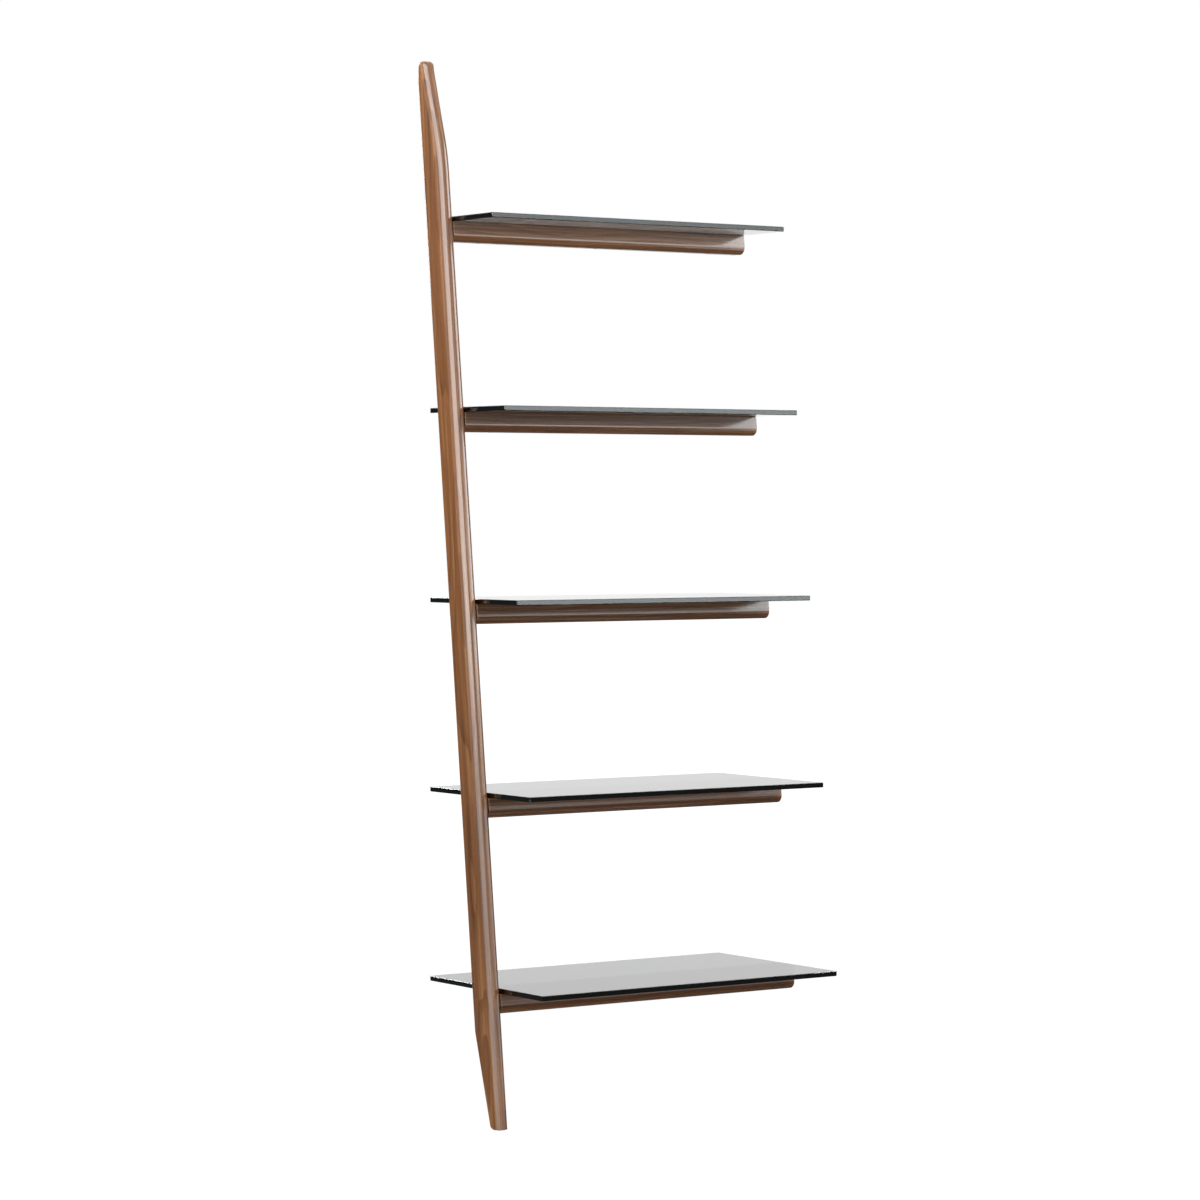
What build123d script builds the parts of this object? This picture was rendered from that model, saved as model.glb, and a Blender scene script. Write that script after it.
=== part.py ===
"""Leaning ladder shelf bay: one walnut post, walnut beams and tinted glass shelves.

Millimetres, +Z up. X runs along the wall with the post at -X, the wall is at +Y and the
room at -Y. The origin is on the floor, at the middle of the bay's width and depth.
"""

import os
from math import atan2, cos, radians, sin, tan

from build123d import *

os.makedirs("parts", exist_ok=True)

# Bay
bay_height = 2105.0
lean_angle = 6.4
shelf_count = 5
lowest_shelf_height = 271.0
top_shelf_below_tip = 314.0

# Glass shelves
glass_width = 720.0
glass_thickness = 10.0
lowest_glass_depth = 405.0
glass_depth_step = 44.0
glass_corner_radius = 2.0
glass_arris = 1.0
glass_end_gap = 1.0

# Post: a straight bar that leans, with a round front, a wall flat and tapered ends
post_width = 31.5
post_depth = 62.5
post_front_flat = 2.0
post_edge_radius = 9.0
post_bend_radius = 60.0
wall_flat_height = 39.0
tip_taper_height = 189.0
tip_depth = 22.5
tip_front_radius = 11.0
tip_back_radius = 12.0
heel_taper_height = 184.0
heel_depth = 27.5
toe_flat_depth = 6.5

# Beams: as deep as the post less a reveal at the front and at the back
beam_height = 40.0
beam_reveal = 6.0
beam_under_radius = 15.0
beam_top_radius = 2.0
beam_end_radius = 1.0

# Discs bonded under the glass, let into the beam, and their screws from below
disc_count = 3
disc_end_distance = 75.0
disc_diameter = 25.0
disc_thickness = 4.0
disc_pocket_clearance = 0.3
disc_screw_diameter = 6.0
disc_screw_head_diameter = 10.0
disc_screw_head_height = 6.0
disc_screw_head_sink = 14.0
disc_screw_key = 5.0
disc_screw_key_depth = 3.0
disc_screw_end_gap = 0.5

# Rail bolt that draws each beam to the post, with its washer and nut in a rear pocket
bolt_diameter = 8.0
bolt_depth_in_post = 22.0
bolt_end_chamfer = 1.0
bolt_past_nut = 3.0
rail_wall = 30.0
washer_size = 16.0
washer_thickness = 3.0
nut_width = 13.0
nut_height = 6.5
pocket_clearance = 1.0
pocket_wrench_room = 13.5
pocket_corner_radius = 3.0

# Dowels that carry the beam and keep it from turning
dowel_diameter = 8.0
dowel_length = 40.0
dowel_spacing = 26.0
dowel_end_chamfer = 1.0

# Holes for bolts, screws and dowels
hole_clearance = 0.2
bolt_bore_clearance = 1.0
blind_hole_gap = 1.0

# Angle that ties the post to the wall, on the post's inner face
bracket_height = 40.0
bracket_middle_below_tip = 150.0
bracket_thickness = 3.0
bracket_wall_leg = 32.0
bracket_post_leg = 42.0
bracket_bend_radius = 2.0
bracket_corner_radius = 4.0
bracket_hole_pitch = 24.0
wall_hole_diameter = 5.5
wall_hole_from_end = 12.0
post_hole_from_end = 12.0

# Pan head screws of the angle
bracket_screw_diameter = 4.0
bracket_screw_length = 20.0
bracket_screw_tip_length = 4.0
bracket_screw_tip_diameter = 2.0
bracket_screw_head_diameter = 8.0
bracket_screw_head_height = 2.6
bracket_screw_head_radius = 1.5

# Grip pad let into the toe of the post
pad_length = 18.0
pad_width = 7.0
pad_recess = 2.0
pad_proud = 0.8

# Places that follow from the sizes above
beam_length = glass_width + 2 * glass_end_gap
bay_width = post_width + beam_length
post_outer_x = -bay_width / 2
post_inner_x = post_outer_x + post_width
beam_end_x = post_inner_x + beam_length
wall_y = lowest_glass_depth / 2
shelf_pitch = (bay_height - top_shelf_below_tip - lowest_shelf_height) / (shelf_count - 1)
toe_z = pad_proud
lean = tan(radians(lean_angle))
post_depth_level = post_depth / cos(radians(lean_angle))
post_front_radius = (post_width - post_front_flat) / 2
rows = range(shelf_count)

# Holes and pockets that follow from their fasteners
dowel_hole_depth = (dowel_length + blind_hole_gap) / 2
pocket_depth = washer_size / 2 + pocket_clearance
pocket_height = washer_size + 2 * pocket_corner_radius
pocket_length = washer_thickness + nut_height + bolt_past_nut + pocket_wrench_room
pocket_middle = rail_wall + pocket_length / 2


def post_back_y(z: float) -> float:
    """Y of the post's leaning back face at a height."""
    return wall_y - (bay_height - wall_flat_height - z) * lean


def post_front_y(z: float) -> float:
    """Y of the post's leaning front face at a height."""
    return post_back_y(z) - post_depth_level


def glass_top(row: int) -> float:
    """Height of a shelf's upper face, counted from the lowest shelf."""
    return lowest_shelf_height + row * shelf_pitch


def glass_depth(row: int) -> float:
    """Depth of a shelf, from the wall to its front edge."""
    return lowest_glass_depth - row * glass_depth_step


def beam_top(row: int) -> float:
    """Height of the beam's top, where the glass lies."""
    return glass_top(row) - glass_thickness


def beam_axis(row: int) -> tuple[float, float]:
    """Y and Z of the line through the middle of the beam's section."""
    z = beam_top(row) - beam_height / 2
    return (post_front_y(z) + post_back_y(z)) / 2, z


def dowel_places(row: int) -> list[tuple[float, float]]:
    """Y and Z of the two dowels at a beam's end, one each side of the bolt."""
    y, z = beam_axis(row)
    return [(y - dowel_spacing / 2, z), (y + dowel_spacing / 2, z)]


def disc_places(row: int) -> list[tuple[float, float]]:
    """X and Y of the discs along a beam, in the middle of its top."""
    z = beam_top(row)
    y = (post_front_y(z) + post_back_y(z)) / 2
    first = post_inner_x + disc_end_distance
    pitch = (beam_length - 2 * disc_end_distance) / (disc_count - 1)
    return [(first + number * pitch, y) for number in range(disc_count)]


def save(piece: BuildPart, name: str) -> None:
    """Label a finished piece and write it to its own file."""
    piece.part.label = name
    export_step(piece.part, f"parts/{name}.step")


# Post
front_bend_z = bay_height - tip_taper_height
wall_bend_z = bay_height - wall_flat_height
toe = (post_front_y(toe_z), toe_z)
front_bend = (post_front_y(front_bend_z), front_bend_z)
tip_front = (wall_y - tip_depth, bay_height)
tip_back = (wall_y, bay_height)
wall_bend = (wall_y, wall_bend_z)
heel_bend = (post_back_y(heel_taper_height), heel_taper_height)
heel_corner = (toe[0] + heel_depth, toe_z)
heel_slope = atan2(heel_bend[0] - heel_corner[0], heel_bend[1] - heel_corner[1])
heel_tangent = heel_depth - toe_flat_depth
heel_radius = heel_tangent * tan(radians(45) + heel_slope / 2)
heel_start = (
    heel_corner[0] + heel_tangent * sin(heel_slope),
    heel_corner[1] + heel_tangent * cos(heel_slope),
)
toe_back = (toe[0] + toe_flat_depth, toe_z)
taper_slope = (tip_front[0] - front_bend[0]) / tip_taper_height
form_base = (post_front_y(-post_depth), -post_depth)
form_top = (tip_front[0] + post_depth * taper_slope, bay_height + post_depth)
form_back_y = wall_y + post_depth
bracket_z = bay_height - bracket_middle_below_tip
bracket_hole_heights = [bracket_z - bracket_hole_pitch / 2, bracket_z + bracket_hole_pitch / 2]
bracket_screw_y = wall_y - bracket_post_leg + post_hole_from_end
wall_hole_x = post_inner_x + bracket_wall_leg - wall_hole_from_end
pad_y = toe[0] + toe_flat_depth

with BuildPart() as round_front:
    with BuildSketch(Plane.YZ.offset(post_outer_x)) as form:
        with BuildLine():
            Polyline(
                form_base,
                front_bend,
                form_top,
                (form_back_y, form_top[1]),
                (form_back_y, form_base[1]),
                close=True,
            )
        make_face()
        fillet(form.vertices().sort_by_distance(front_bend)[0], post_bend_radius)
    extrude(amount=post_width)
    form_edges = round_front.faces().filter_by(Axis.X).edges()
    straight_edges = form_edges.filter_by(Axis.Y) + form_edges.filter_by(Axis.Z)
    fillet([edge for edge in form_edges if edge not in straight_edges], post_front_radius)

with BuildPart() as post:
    with BuildSketch(Plane.YZ.offset(post_outer_x)) as side:
        with BuildLine():
            Polyline(toe, front_bend, tip_front, tip_back, wall_bend, heel_bend, heel_corner, close=True)
        make_face()
        for bend in (front_bend, wall_bend, heel_bend):
            fillet(side.vertices().sort_by_distance(bend)[0], post_bend_radius)
        fillet(side.vertices().sort_by_distance(tip_front)[0], tip_front_radius)
        fillet(side.vertices().sort_by_distance(tip_back)[0], tip_back_radius)
    extrude(amount=post_width)
    side_edges = post.faces().filter_by(Axis.X).edges()
    bottom_edges = post.faces().sort_by(Axis.Z)[0].edges()
    fillet([edge for edge in side_edges if edge not in bottom_edges], post_edge_radius)
    add(round_front.part, mode=Mode.INTERSECT)
    with BuildSketch(Plane.YZ.offset(post_outer_x)):
        with BuildLine():
            RadiusArc(heel_start, toe_back, heel_radius)
            Polyline(toe_back, (toe_back[0], 0), (heel_start[0] + heel_tangent, 0), heel_start)
        make_face()
    extrude(amount=post_width, mode=Mode.SUBTRACT)
    with BuildSketch(Plane.YZ.offset(post_inner_x)):
        for row in rows:
            with Locations(beam_axis(row)):
                Circle((bolt_diameter + hole_clearance) / 2)
    extrude(amount=-bolt_depth_in_post - blind_hole_gap, mode=Mode.SUBTRACT)
    with BuildSketch(Plane.YZ.offset(post_inner_x)):
        for row in rows:
            with Locations(*dowel_places(row)):
                Circle((dowel_diameter + hole_clearance) / 2)
    extrude(amount=-dowel_hole_depth, mode=Mode.SUBTRACT)
    with BuildSketch(Plane.YZ.offset(post_inner_x)):
        with Locations(*[(bracket_screw_y, z) for z in bracket_hole_heights]):
            Circle((bracket_screw_diameter + hole_clearance) / 2)
    extrude(amount=-bracket_screw_length - blind_hole_gap, mode=Mode.SUBTRACT)
    with BuildSketch(Plane.XY.offset(toe_z)):
        with Locations((post_outer_x + post_width / 2, pad_y)):
            SlotOverall(pad_length + hole_clearance, pad_width + hole_clearance)
    extrude(amount=pad_recess, mode=Mode.SUBTRACT)
save(post, "post")

with BuildPart() as foot_pad:
    with BuildSketch(Plane.XY):
        with Locations((post_outer_x + post_width / 2, pad_y)):
            SlotOverall(pad_length, pad_width)
    extrude(amount=pad_proud + pad_recess)
save(foot_pad, "foot_pad")

# Wall angle and its screws
with BuildPart() as wall_bracket:
    with BuildSketch(Plane.XY.offset(bracket_z - bracket_height / 2)) as angle:
        with BuildLine():
            Polyline(
                (post_inner_x, wall_y),
                (post_inner_x + bracket_wall_leg, wall_y),
                (post_inner_x + bracket_wall_leg, wall_y - bracket_thickness),
                (post_inner_x + bracket_thickness, wall_y - bracket_thickness),
                (post_inner_x + bracket_thickness, wall_y - bracket_post_leg),
                (post_inner_x, wall_y - bracket_post_leg),
                close=True,
            )
        make_face()
        inner_bend = (post_inner_x + bracket_thickness, wall_y - bracket_thickness)
        outer_bend = (post_inner_x, wall_y)
        fillet(angle.vertices().sort_by_distance(inner_bend)[0], bracket_bend_radius)
        fillet(angle.vertices().sort_by_distance(outer_bend)[0], bracket_bend_radius + bracket_thickness)
    extrude(amount=bracket_height)
    leg_ends = wall_bracket.faces().sort_by(Axis.X)[-1].edges().filter_by(Axis.Y)
    leg_ends += wall_bracket.faces().sort_by(Axis.Y)[0].edges().filter_by(Axis.X)
    fillet(leg_ends, bracket_corner_radius)
    with BuildSketch(Plane.XZ.offset(-wall_y)):
        with Locations(*[(wall_hole_x, z) for z in bracket_hole_heights]):
            Circle(wall_hole_diameter / 2)
    extrude(amount=bracket_thickness, mode=Mode.SUBTRACT)
    with BuildSketch(Plane.YZ.offset(post_inner_x)):
        with Locations(*[(bracket_screw_y, z) for z in bracket_hole_heights]):
            Circle((bracket_screw_diameter + hole_clearance) / 2)
    extrude(amount=bracket_thickness, mode=Mode.SUBTRACT)
save(wall_bracket, "wall_bracket")

with BuildPart() as bracket_screws:
    head_places = [(bracket_screw_y, z) for z in bracket_hole_heights]
    head_x = post_inner_x + bracket_thickness
    with BuildSketch(Plane.YZ.offset(head_x)):
        with Locations(*head_places):
            Circle(bracket_screw_head_diameter / 2)
    extrude(amount=bracket_screw_head_height)
    fillet(bracket_screws.faces().group_by(Axis.X)[-1].edges(), bracket_screw_head_radius)
    with BuildSketch(Plane.YZ.offset(head_x)):
        with Locations(*head_places):
            Circle(bracket_screw_diameter / 2)
    extrude(amount=-bracket_thickness - bracket_screw_length)
    tips = bracket_screws.faces().group_by(Axis.X)[0].edges()
    tip_chamfer = (bracket_screw_diameter - bracket_screw_tip_diameter) / 2
    chamfer(tips, bracket_screw_tip_length, tip_chamfer)
save(bracket_screws, "bracket_screws")

# Shelves, counted from the lowest: beam, glass, discs, screws, bolt, washer, nut and dowels
for row in rows:
    number = row + 1
    axis_y, axis_z = beam_axis(row)
    top_z = beam_top(row)
    under_z = top_z - beam_height
    screw_seat_z = under_z + disc_screw_head_sink

    with BuildPart() as beam:
        with BuildSketch(Plane.YZ.offset(post_inner_x)) as section:
            with BuildLine():
                Polyline(
                    (post_front_y(under_z) + beam_reveal, under_z),
                    (post_back_y(under_z) - beam_reveal, under_z),
                    (post_back_y(top_z) - beam_reveal, top_z),
                    (post_front_y(top_z) + beam_reveal, top_z),
                    close=True,
                )
            make_face()
            fillet(section.vertices().group_by(Axis.Y)[0], beam_under_radius)
            fillet(section.vertices().group_by(Axis.Y)[-1], beam_top_radius)
        extrude(amount=beam_length)
        fillet(beam.faces().filter_by(Axis.X).edges(), beam_end_radius)
        for end_x, inward in ((post_inner_x, 1), (beam_end_x, -1)):
            with BuildSketch(Plane.YZ.offset(end_x)):
                with Locations((axis_y, axis_z)):
                    Circle((bolt_diameter + bolt_bore_clearance) / 2)
            extrude(amount=inward * pocket_middle, mode=Mode.SUBTRACT)
            with BuildSketch(Plane.YZ.offset(end_x)):
                with Locations(*dowel_places(row)):
                    Circle((dowel_diameter + hole_clearance) / 2)
            extrude(amount=inward * dowel_hole_depth, mode=Mode.SUBTRACT)
            with BuildSketch(Plane.XZ.offset(-axis_y + pocket_depth)):
                with Locations((end_x + inward * pocket_middle, axis_z)):
                    RectangleRounded(pocket_length, pocket_height, pocket_corner_radius)
            extrude(amount=-post_depth_level, mode=Mode.SUBTRACT)
        with BuildSketch(Plane.XY.offset(top_z)):
            with Locations(*disc_places(row)):
                Circle(disc_diameter / 2 + disc_pocket_clearance)
        extrude(amount=-disc_thickness - disc_pocket_clearance, mode=Mode.SUBTRACT)
        with BuildSketch(Plane.XY.offset(under_z)):
            with Locations(*disc_places(row)):
                Circle((disc_screw_diameter + hole_clearance) / 2)
        extrude(amount=beam_height, mode=Mode.SUBTRACT)
        with BuildSketch(Plane.XY.offset(under_z)):
            with Locations(*disc_places(row)):
                Circle(disc_screw_head_diameter / 2 + disc_pocket_clearance)
        extrude(amount=disc_screw_head_sink, mode=Mode.SUBTRACT)
    save(beam, f"shelf_beam_{number}")

    with BuildPart() as glass:
        with BuildSketch(Plane.XY.offset(top_z)):
            with Locations((post_inner_x + beam_length / 2, wall_y - glass_depth(row) / 2)):
                RectangleRounded(glass_width, glass_depth(row), glass_corner_radius)
        extrude(amount=glass_thickness)
        chamfer(glass.faces().filter_by(Axis.Z).edges(), glass_arris)
    save(glass, f"glass_shelf_{number}")

    with BuildPart() as discs:
        with BuildSketch(Plane.XY.offset(top_z)):
            with Locations(*disc_places(row)):
                Circle(disc_diameter / 2)
                Circle((disc_screw_diameter + hole_clearance) / 2, mode=Mode.SUBTRACT)
        extrude(amount=-disc_thickness)
    save(discs, f"glass_discs_{number}")

    with BuildPart() as disc_screws:
        with BuildSketch(Plane.XY.offset(screw_seat_z)):
            with Locations(*disc_places(row)):
                Circle(disc_screw_head_diameter / 2)
        extrude(amount=-disc_screw_head_height)
        with BuildSketch(Plane.XY.offset(screw_seat_z - disc_screw_head_height)):
            with Locations(*disc_places(row)):
                RegularPolygon(disc_screw_key / 2, 6, major_radius=False)
        extrude(amount=disc_screw_key_depth, mode=Mode.SUBTRACT)
        with BuildSketch(Plane.XY.offset(screw_seat_z)):
            with Locations(*disc_places(row)):
                Circle(disc_screw_diameter / 2)
        extrude(amount=top_z - disc_screw_end_gap - screw_seat_z)
    save(disc_screws, f"disc_screws_{number}")

    with BuildPart() as rail_bolt:
        with BuildSketch(Plane.YZ.offset(post_inner_x - bolt_depth_in_post)):
            with Locations((axis_y, axis_z)):
                Circle(bolt_diameter / 2)
        extrude(amount=bolt_depth_in_post + rail_wall + washer_thickness + nut_height + bolt_past_nut)
        chamfer(rail_bolt.faces().filter_by(Axis.X).edges(), bolt_end_chamfer)
    save(rail_bolt, f"rail_bolt_{number}")

    with BuildPart() as rail_washer:
        with BuildSketch(Plane.YZ.offset(post_inner_x + rail_wall)):
            with Locations((axis_y, axis_z)):
                Rectangle(washer_size, washer_size)
                Circle((bolt_diameter + hole_clearance) / 2, mode=Mode.SUBTRACT)
        extrude(amount=washer_thickness)
    save(rail_washer, f"rail_washer_{number}")

    with BuildPart() as rail_nut:
        with BuildSketch(Plane.YZ.offset(post_inner_x + rail_wall + washer_thickness)):
            with Locations((axis_y, axis_z)):
                RegularPolygon(nut_width / 2, 6, major_radius=False)
                Circle((bolt_diameter + hole_clearance) / 2, mode=Mode.SUBTRACT)
        extrude(amount=nut_height)
    save(rail_nut, f"rail_nut_{number}")

    with BuildPart() as dowels:
        with BuildSketch(Plane.YZ.offset(post_inner_x - dowel_length / 2)):
            with Locations(*dowel_places(row)):
                Circle(dowel_diameter / 2)
        extrude(amount=dowel_length)
        chamfer(dowels.faces().filter_by(Axis.X).edges(), dowel_end_chamfer)
    save(dowels, f"beam_dowels_{number}")
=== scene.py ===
"""Looks of a leaning ladder shelf bay: walnut post and beams, tinted glass shelves and their fixings.

The frame is in metres, +Z up, with the post at -X and the wall at +Y. The classes below hold their sizes in
millimetres, as a workshop drawing does, and a mesh is scaled to metres when it is made.
"""

import logging
from abc import ABC, abstractmethod
from dataclasses import dataclass
from enum import Enum
from math import cos, pi, radians, sin, tan
from typing import Union

import bmesh
import bpy
import numpy as np
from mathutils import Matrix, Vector


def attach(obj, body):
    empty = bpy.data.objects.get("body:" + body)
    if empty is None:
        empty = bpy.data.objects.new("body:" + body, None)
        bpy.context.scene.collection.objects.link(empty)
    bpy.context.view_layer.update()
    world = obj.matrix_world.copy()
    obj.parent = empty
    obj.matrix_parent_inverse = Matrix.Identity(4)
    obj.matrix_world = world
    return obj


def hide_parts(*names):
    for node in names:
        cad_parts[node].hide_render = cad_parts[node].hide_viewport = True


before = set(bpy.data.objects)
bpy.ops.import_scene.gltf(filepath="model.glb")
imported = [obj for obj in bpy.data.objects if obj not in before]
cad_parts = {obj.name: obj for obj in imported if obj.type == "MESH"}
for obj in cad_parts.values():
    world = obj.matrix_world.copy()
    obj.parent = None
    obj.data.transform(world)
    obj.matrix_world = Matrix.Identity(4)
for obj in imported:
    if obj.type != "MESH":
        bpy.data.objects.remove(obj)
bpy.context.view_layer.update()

Array = np.ndarray
RGB = tuple[int, int, int]
Shade = tuple[float, float, float, float]
Point = tuple[float, float, float]
Spot = tuple[float, float]
Edges = tuple[float, float]

MM = 0.001
BODY = "root"
LEAN_ANGLE = 6.4  # degrees
WHITE = (1.0, 1.0, 1.0, 1.0)
BOX_CORNERS = np.array([(-1, -1), (1, -1), (1, 1), (-1, 1)])
ARC_STEPS = 8
HOLE_COLUMNS = 32
SHARP_ANGLE = radians(40.0)
MERGE_DISTANCE = 1e-6  # metres, on a new mesh
WELD_DISTANCE = 5e-6  # metres, on a carved mesh
CUT_MARGIN = 5.0  # millimetres that a cutter stands out of the face it opens
THREAD_ROWS = 5  # for each pitch
THREAD_DEPTH = 0.6  # of the pitch

log = logging.getLogger("shelf_bay")


# Shader expressions


class Signal:
    """An output socket of a node sheet. Operators on it add Math nodes."""

    def __init__(self, sheet: "NodeSheet", socket: bpy.types.NodeSocket) -> None:
        """Keep the socket and the sheet that it is on."""
        self.sheet = sheet
        self.socket = socket

    def maths(self, operation: str, first: "Feed", second: "Feed") -> "Signal":
        """Add a Math node.

        Args:
            operation: Name of the Math node's operation.
            first: Its first value or link.
            second: Its second value or link.

        Returns:
            The node's result.
        """
        feeds = {"Value": first, "Value_001": second}
        return self.sheet.add("ShaderNodeMath", {"operation": operation}, feeds)["Value"]

    def __add__(self, other: "Feed") -> "Signal":
        """Sum."""
        return self.maths("ADD", self, other)

    def __radd__(self, other: "Feed") -> "Signal":
        """Sum with a number on the left."""
        return self.maths("ADD", other, self)

    def __sub__(self, other: "Feed") -> "Signal":
        """Difference."""
        return self.maths("SUBTRACT", self, other)

    def __rsub__(self, other: "Feed") -> "Signal":
        """Difference from a number on the left."""
        return self.maths("SUBTRACT", other, self)

    def __mul__(self, other: "Feed") -> "Signal":
        """Product."""
        return self.maths("MULTIPLY", self, other)

    def __rmul__(self, other: "Feed") -> "Signal":
        """Product with a number on the left."""
        return self.maths("MULTIPLY", other, self)

    def __truediv__(self, other: "Feed") -> "Signal":
        """Quotient."""
        return self.maths("DIVIDE", self, other)

    def __mod__(self, other: "Feed") -> "Signal":
        """Remainder that stays positive."""
        return self.maths("FLOORED_MODULO", self, other)

    def at_least(self, other: "Feed") -> "Signal":
        """The larger of the two."""
        return self.maths("MAXIMUM", self, other)


Feed = Union[Signal, float, tuple]


class NodeSheet:
    """The node tree of a material or of the world."""

    def __init__(self, owner: Union[bpy.types.Material, bpy.types.World]) -> None:
        """Start the owner's tree empty.

        Args:
            owner: Material or world that the nodes belong to.
        """
        owner.use_nodes = True
        self.tree = owner.node_tree
        self.tree.nodes.clear()

    def add(self, kind: str, settings: dict | None = None, feeds: dict | None = None) -> dict[str, Signal]:
        """Add a node.

        Args:
            kind: Type of the node.
            settings: Properties set first; "stops" are a ramp's positions and grey levels.
            feeds: Values or links of its input sockets, by socket identifier.

        Returns:
            The node's outputs by socket identifier.
        """
        node = self.tree.nodes.new(kind)
        for name, setting in (settings or {}).items():
            if name == "stops":
                ramp = node.color_ramp.elements
                while len(ramp) < len(setting):
                    ramp.new(1.0)
                for stop, (position, level) in zip(ramp, setting):
                    stop.position = position
                    stop.color = (level, level, level, 1.0)
            else:
                setattr(node, name, setting)
        sockets = {socket.identifier: socket for socket in node.inputs}
        for name, feed in (feeds or {}).items():
            if isinstance(feed, Signal):
                self.tree.links.new(feed.socket, sockets[name])
            else:
                sockets[name].default_value = feed
        return {socket.identifier: Signal(self, socket) for socket in node.outputs}

    def place(self) -> Signal:
        """Position on the piece, in Object coordinates."""
        return self.add("ShaderNodeTexCoord")["Object"]

    def stretched(self, place: Signal, scale: Point) -> Signal:
        """Position scaled along its three axes."""
        return self.add("ShaderNodeMapping", feeds={"Vector": place, "Scale": scale})["Vector"]

    def length(self, place: Signal) -> Signal:
        """Distance of a position from the origin."""
        return self.add("ShaderNodeVectorMath", {"operation": "LENGTH"}, {"Vector": place})["Value"]

    def noise(
        self, place: Signal, scale: float = 1.0, detail: float = 2.0, distortion: float = 0.0
    ) -> Signal:
        """Noise about 0.5 at a position.

        Args:
            place: Position that the noise is read at.
            scale: Features per unit of that position.
            detail: Octaves of finer noise.
            distortion: How far the noise pulls its own position about.

        Returns:
            The noise, mostly between 0.2 and 0.8.
        """
        feeds = {"Vector": place, "Scale": scale, "Detail": detail, "Distortion": distortion}
        return self.add("ShaderNodeTexNoise", feeds=feeds)["Fac"]

    def ramp(self, signal: Signal, stops: tuple[Spot, ...]) -> Signal:
        """Grey level that a ramp with these stops gives a value."""
        level = self.add("ShaderNodeValToRGB", {"stops": stops}, {"Fac": signal})["Color"]
        return self.add("ShaderNodeRGBToBW", feeds={"Color": level})["Val"]

    def span(self, signal: Signal, low: float, high: float) -> Signal:
        """Value that rises smoothly from 0 at one level to 1 at another."""
        feeds = {"Value": signal, "From Min": low, "From Max": high}
        return self.add("ShaderNodeMapRange", {"interpolation_type": "SMOOTHSTEP"}, feeds)["Result"]

    def mix(self, share: Feed, first: Feed, second: Feed) -> Signal:
        """Colour between two colours."""
        feeds = {"Factor_Float": share, "A_Color": first, "B_Color": second}
        return self.add("ShaderNodeMix", {"data_type": "RGBA"}, feeds)["Result_Color"]

    def relief(self, height: Signal, depth: float, strength: float) -> Signal:
        """Normal of a surface with this height, whose full range is so many metres deep."""
        feeds = {"Height": height, "Distance": depth, "Strength": strength}
        return self.add("ShaderNodeBump", feeds=feeds)["Normal"]

    def glow(self, colour: Shade, strength: float) -> Signal:
        """Shader that gives off an even light."""
        return self.add("ShaderNodeEmission", feeds={"Color": colour, "Strength": strength})["Emission"]

    def blend(self, share: Signal, first: Signal, second: Signal) -> Signal:
        """Shader between two shaders."""
        feeds = {"Fac": share, "Shader": first, "Shader_001": second}
        return self.add("ShaderNodeMixShader", feeds=feeds)["Shader"]

    def surface(self, feeds: dict[str, Feed], volume: Signal | None = None) -> None:
        """Join a Principled surface, and a volume if there is one, to the material's output.

        Args:
            feeds: Values or links of the Principled shader's sockets.
            volume: What fills the body under the surface.
        """
        shader = self.add("ShaderNodeBsdfPrincipled", feeds=feeds)["BSDF"]
        output = {"Surface": shader}
        if volume is not None:
            output["Volume"] = volume
        self.add("ShaderNodeOutputMaterial", feeds=output)


def paint(colour: RGB) -> Shade:
    """Linear colour of a screen colour.

    A channel c from 0 to 1 becomes c / 12.92 up to 0.04045, and above that the power 2.4 of
    (c + 0.055) / 1.055.

    Args:
        colour: Red, green and blue from 0 to 255.

    Returns:
        Linear red, green and blue from 0 to 1, and 1 for opacity.
    """
    level = np.array(colour) / 255.0
    linear = np.where(level <= 0.04045, level / 12.92, ((level + 0.055) / 1.055) ** 2.4)
    return (*linear.tolist(), 1.0)


# Finishes


class Grain(Enum):
    """Way that the wood's fibres run; the value turns that direction onto Z."""

    ALONG_POST = (radians(LEAN_ANGLE), 0.0, 0.0)
    ALONG_BEAM = (0.0, radians(-90.0), 0.0)


class Slot(Enum):
    """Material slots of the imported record."""

    WALNUT = "walnut"
    SMOKED_GLASS = "smoked_glass"
    DISC_BLACK = "disc_black"
    BRACKET_BLACK = "bracket_black"
    FASTENER_STEEL = "fastener_steel"
    DOWEL_BEECH = "dowel_beech"
    GRIP_RUBBER = "grip_rubber"


@dataclass(frozen=True)
class Finish(ABC):
    """A surface finish, with its material's name and the slot that it belongs to.

    In the finishes below a scale is the number of features in a metre, and a pair of edges gives the noise
    levels between which a mark fades in. A relief's depth is in metres.
    """

    name: str
    slot: Slot

    @abstractmethod
    def lay(self, sheet: NodeSheet) -> None:
        """Fill the material's node sheet."""

    def material(self) -> bpy.types.Material:
        """Give the finish's material, made when it is first asked for.

        Returns:
            The material.
        """
        material = bpy.data.materials.get(self.name)
        if material is None:
            material = bpy.data.materials.new(self.name)
            self.lay(NodeSheet(material))
        return material


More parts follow.
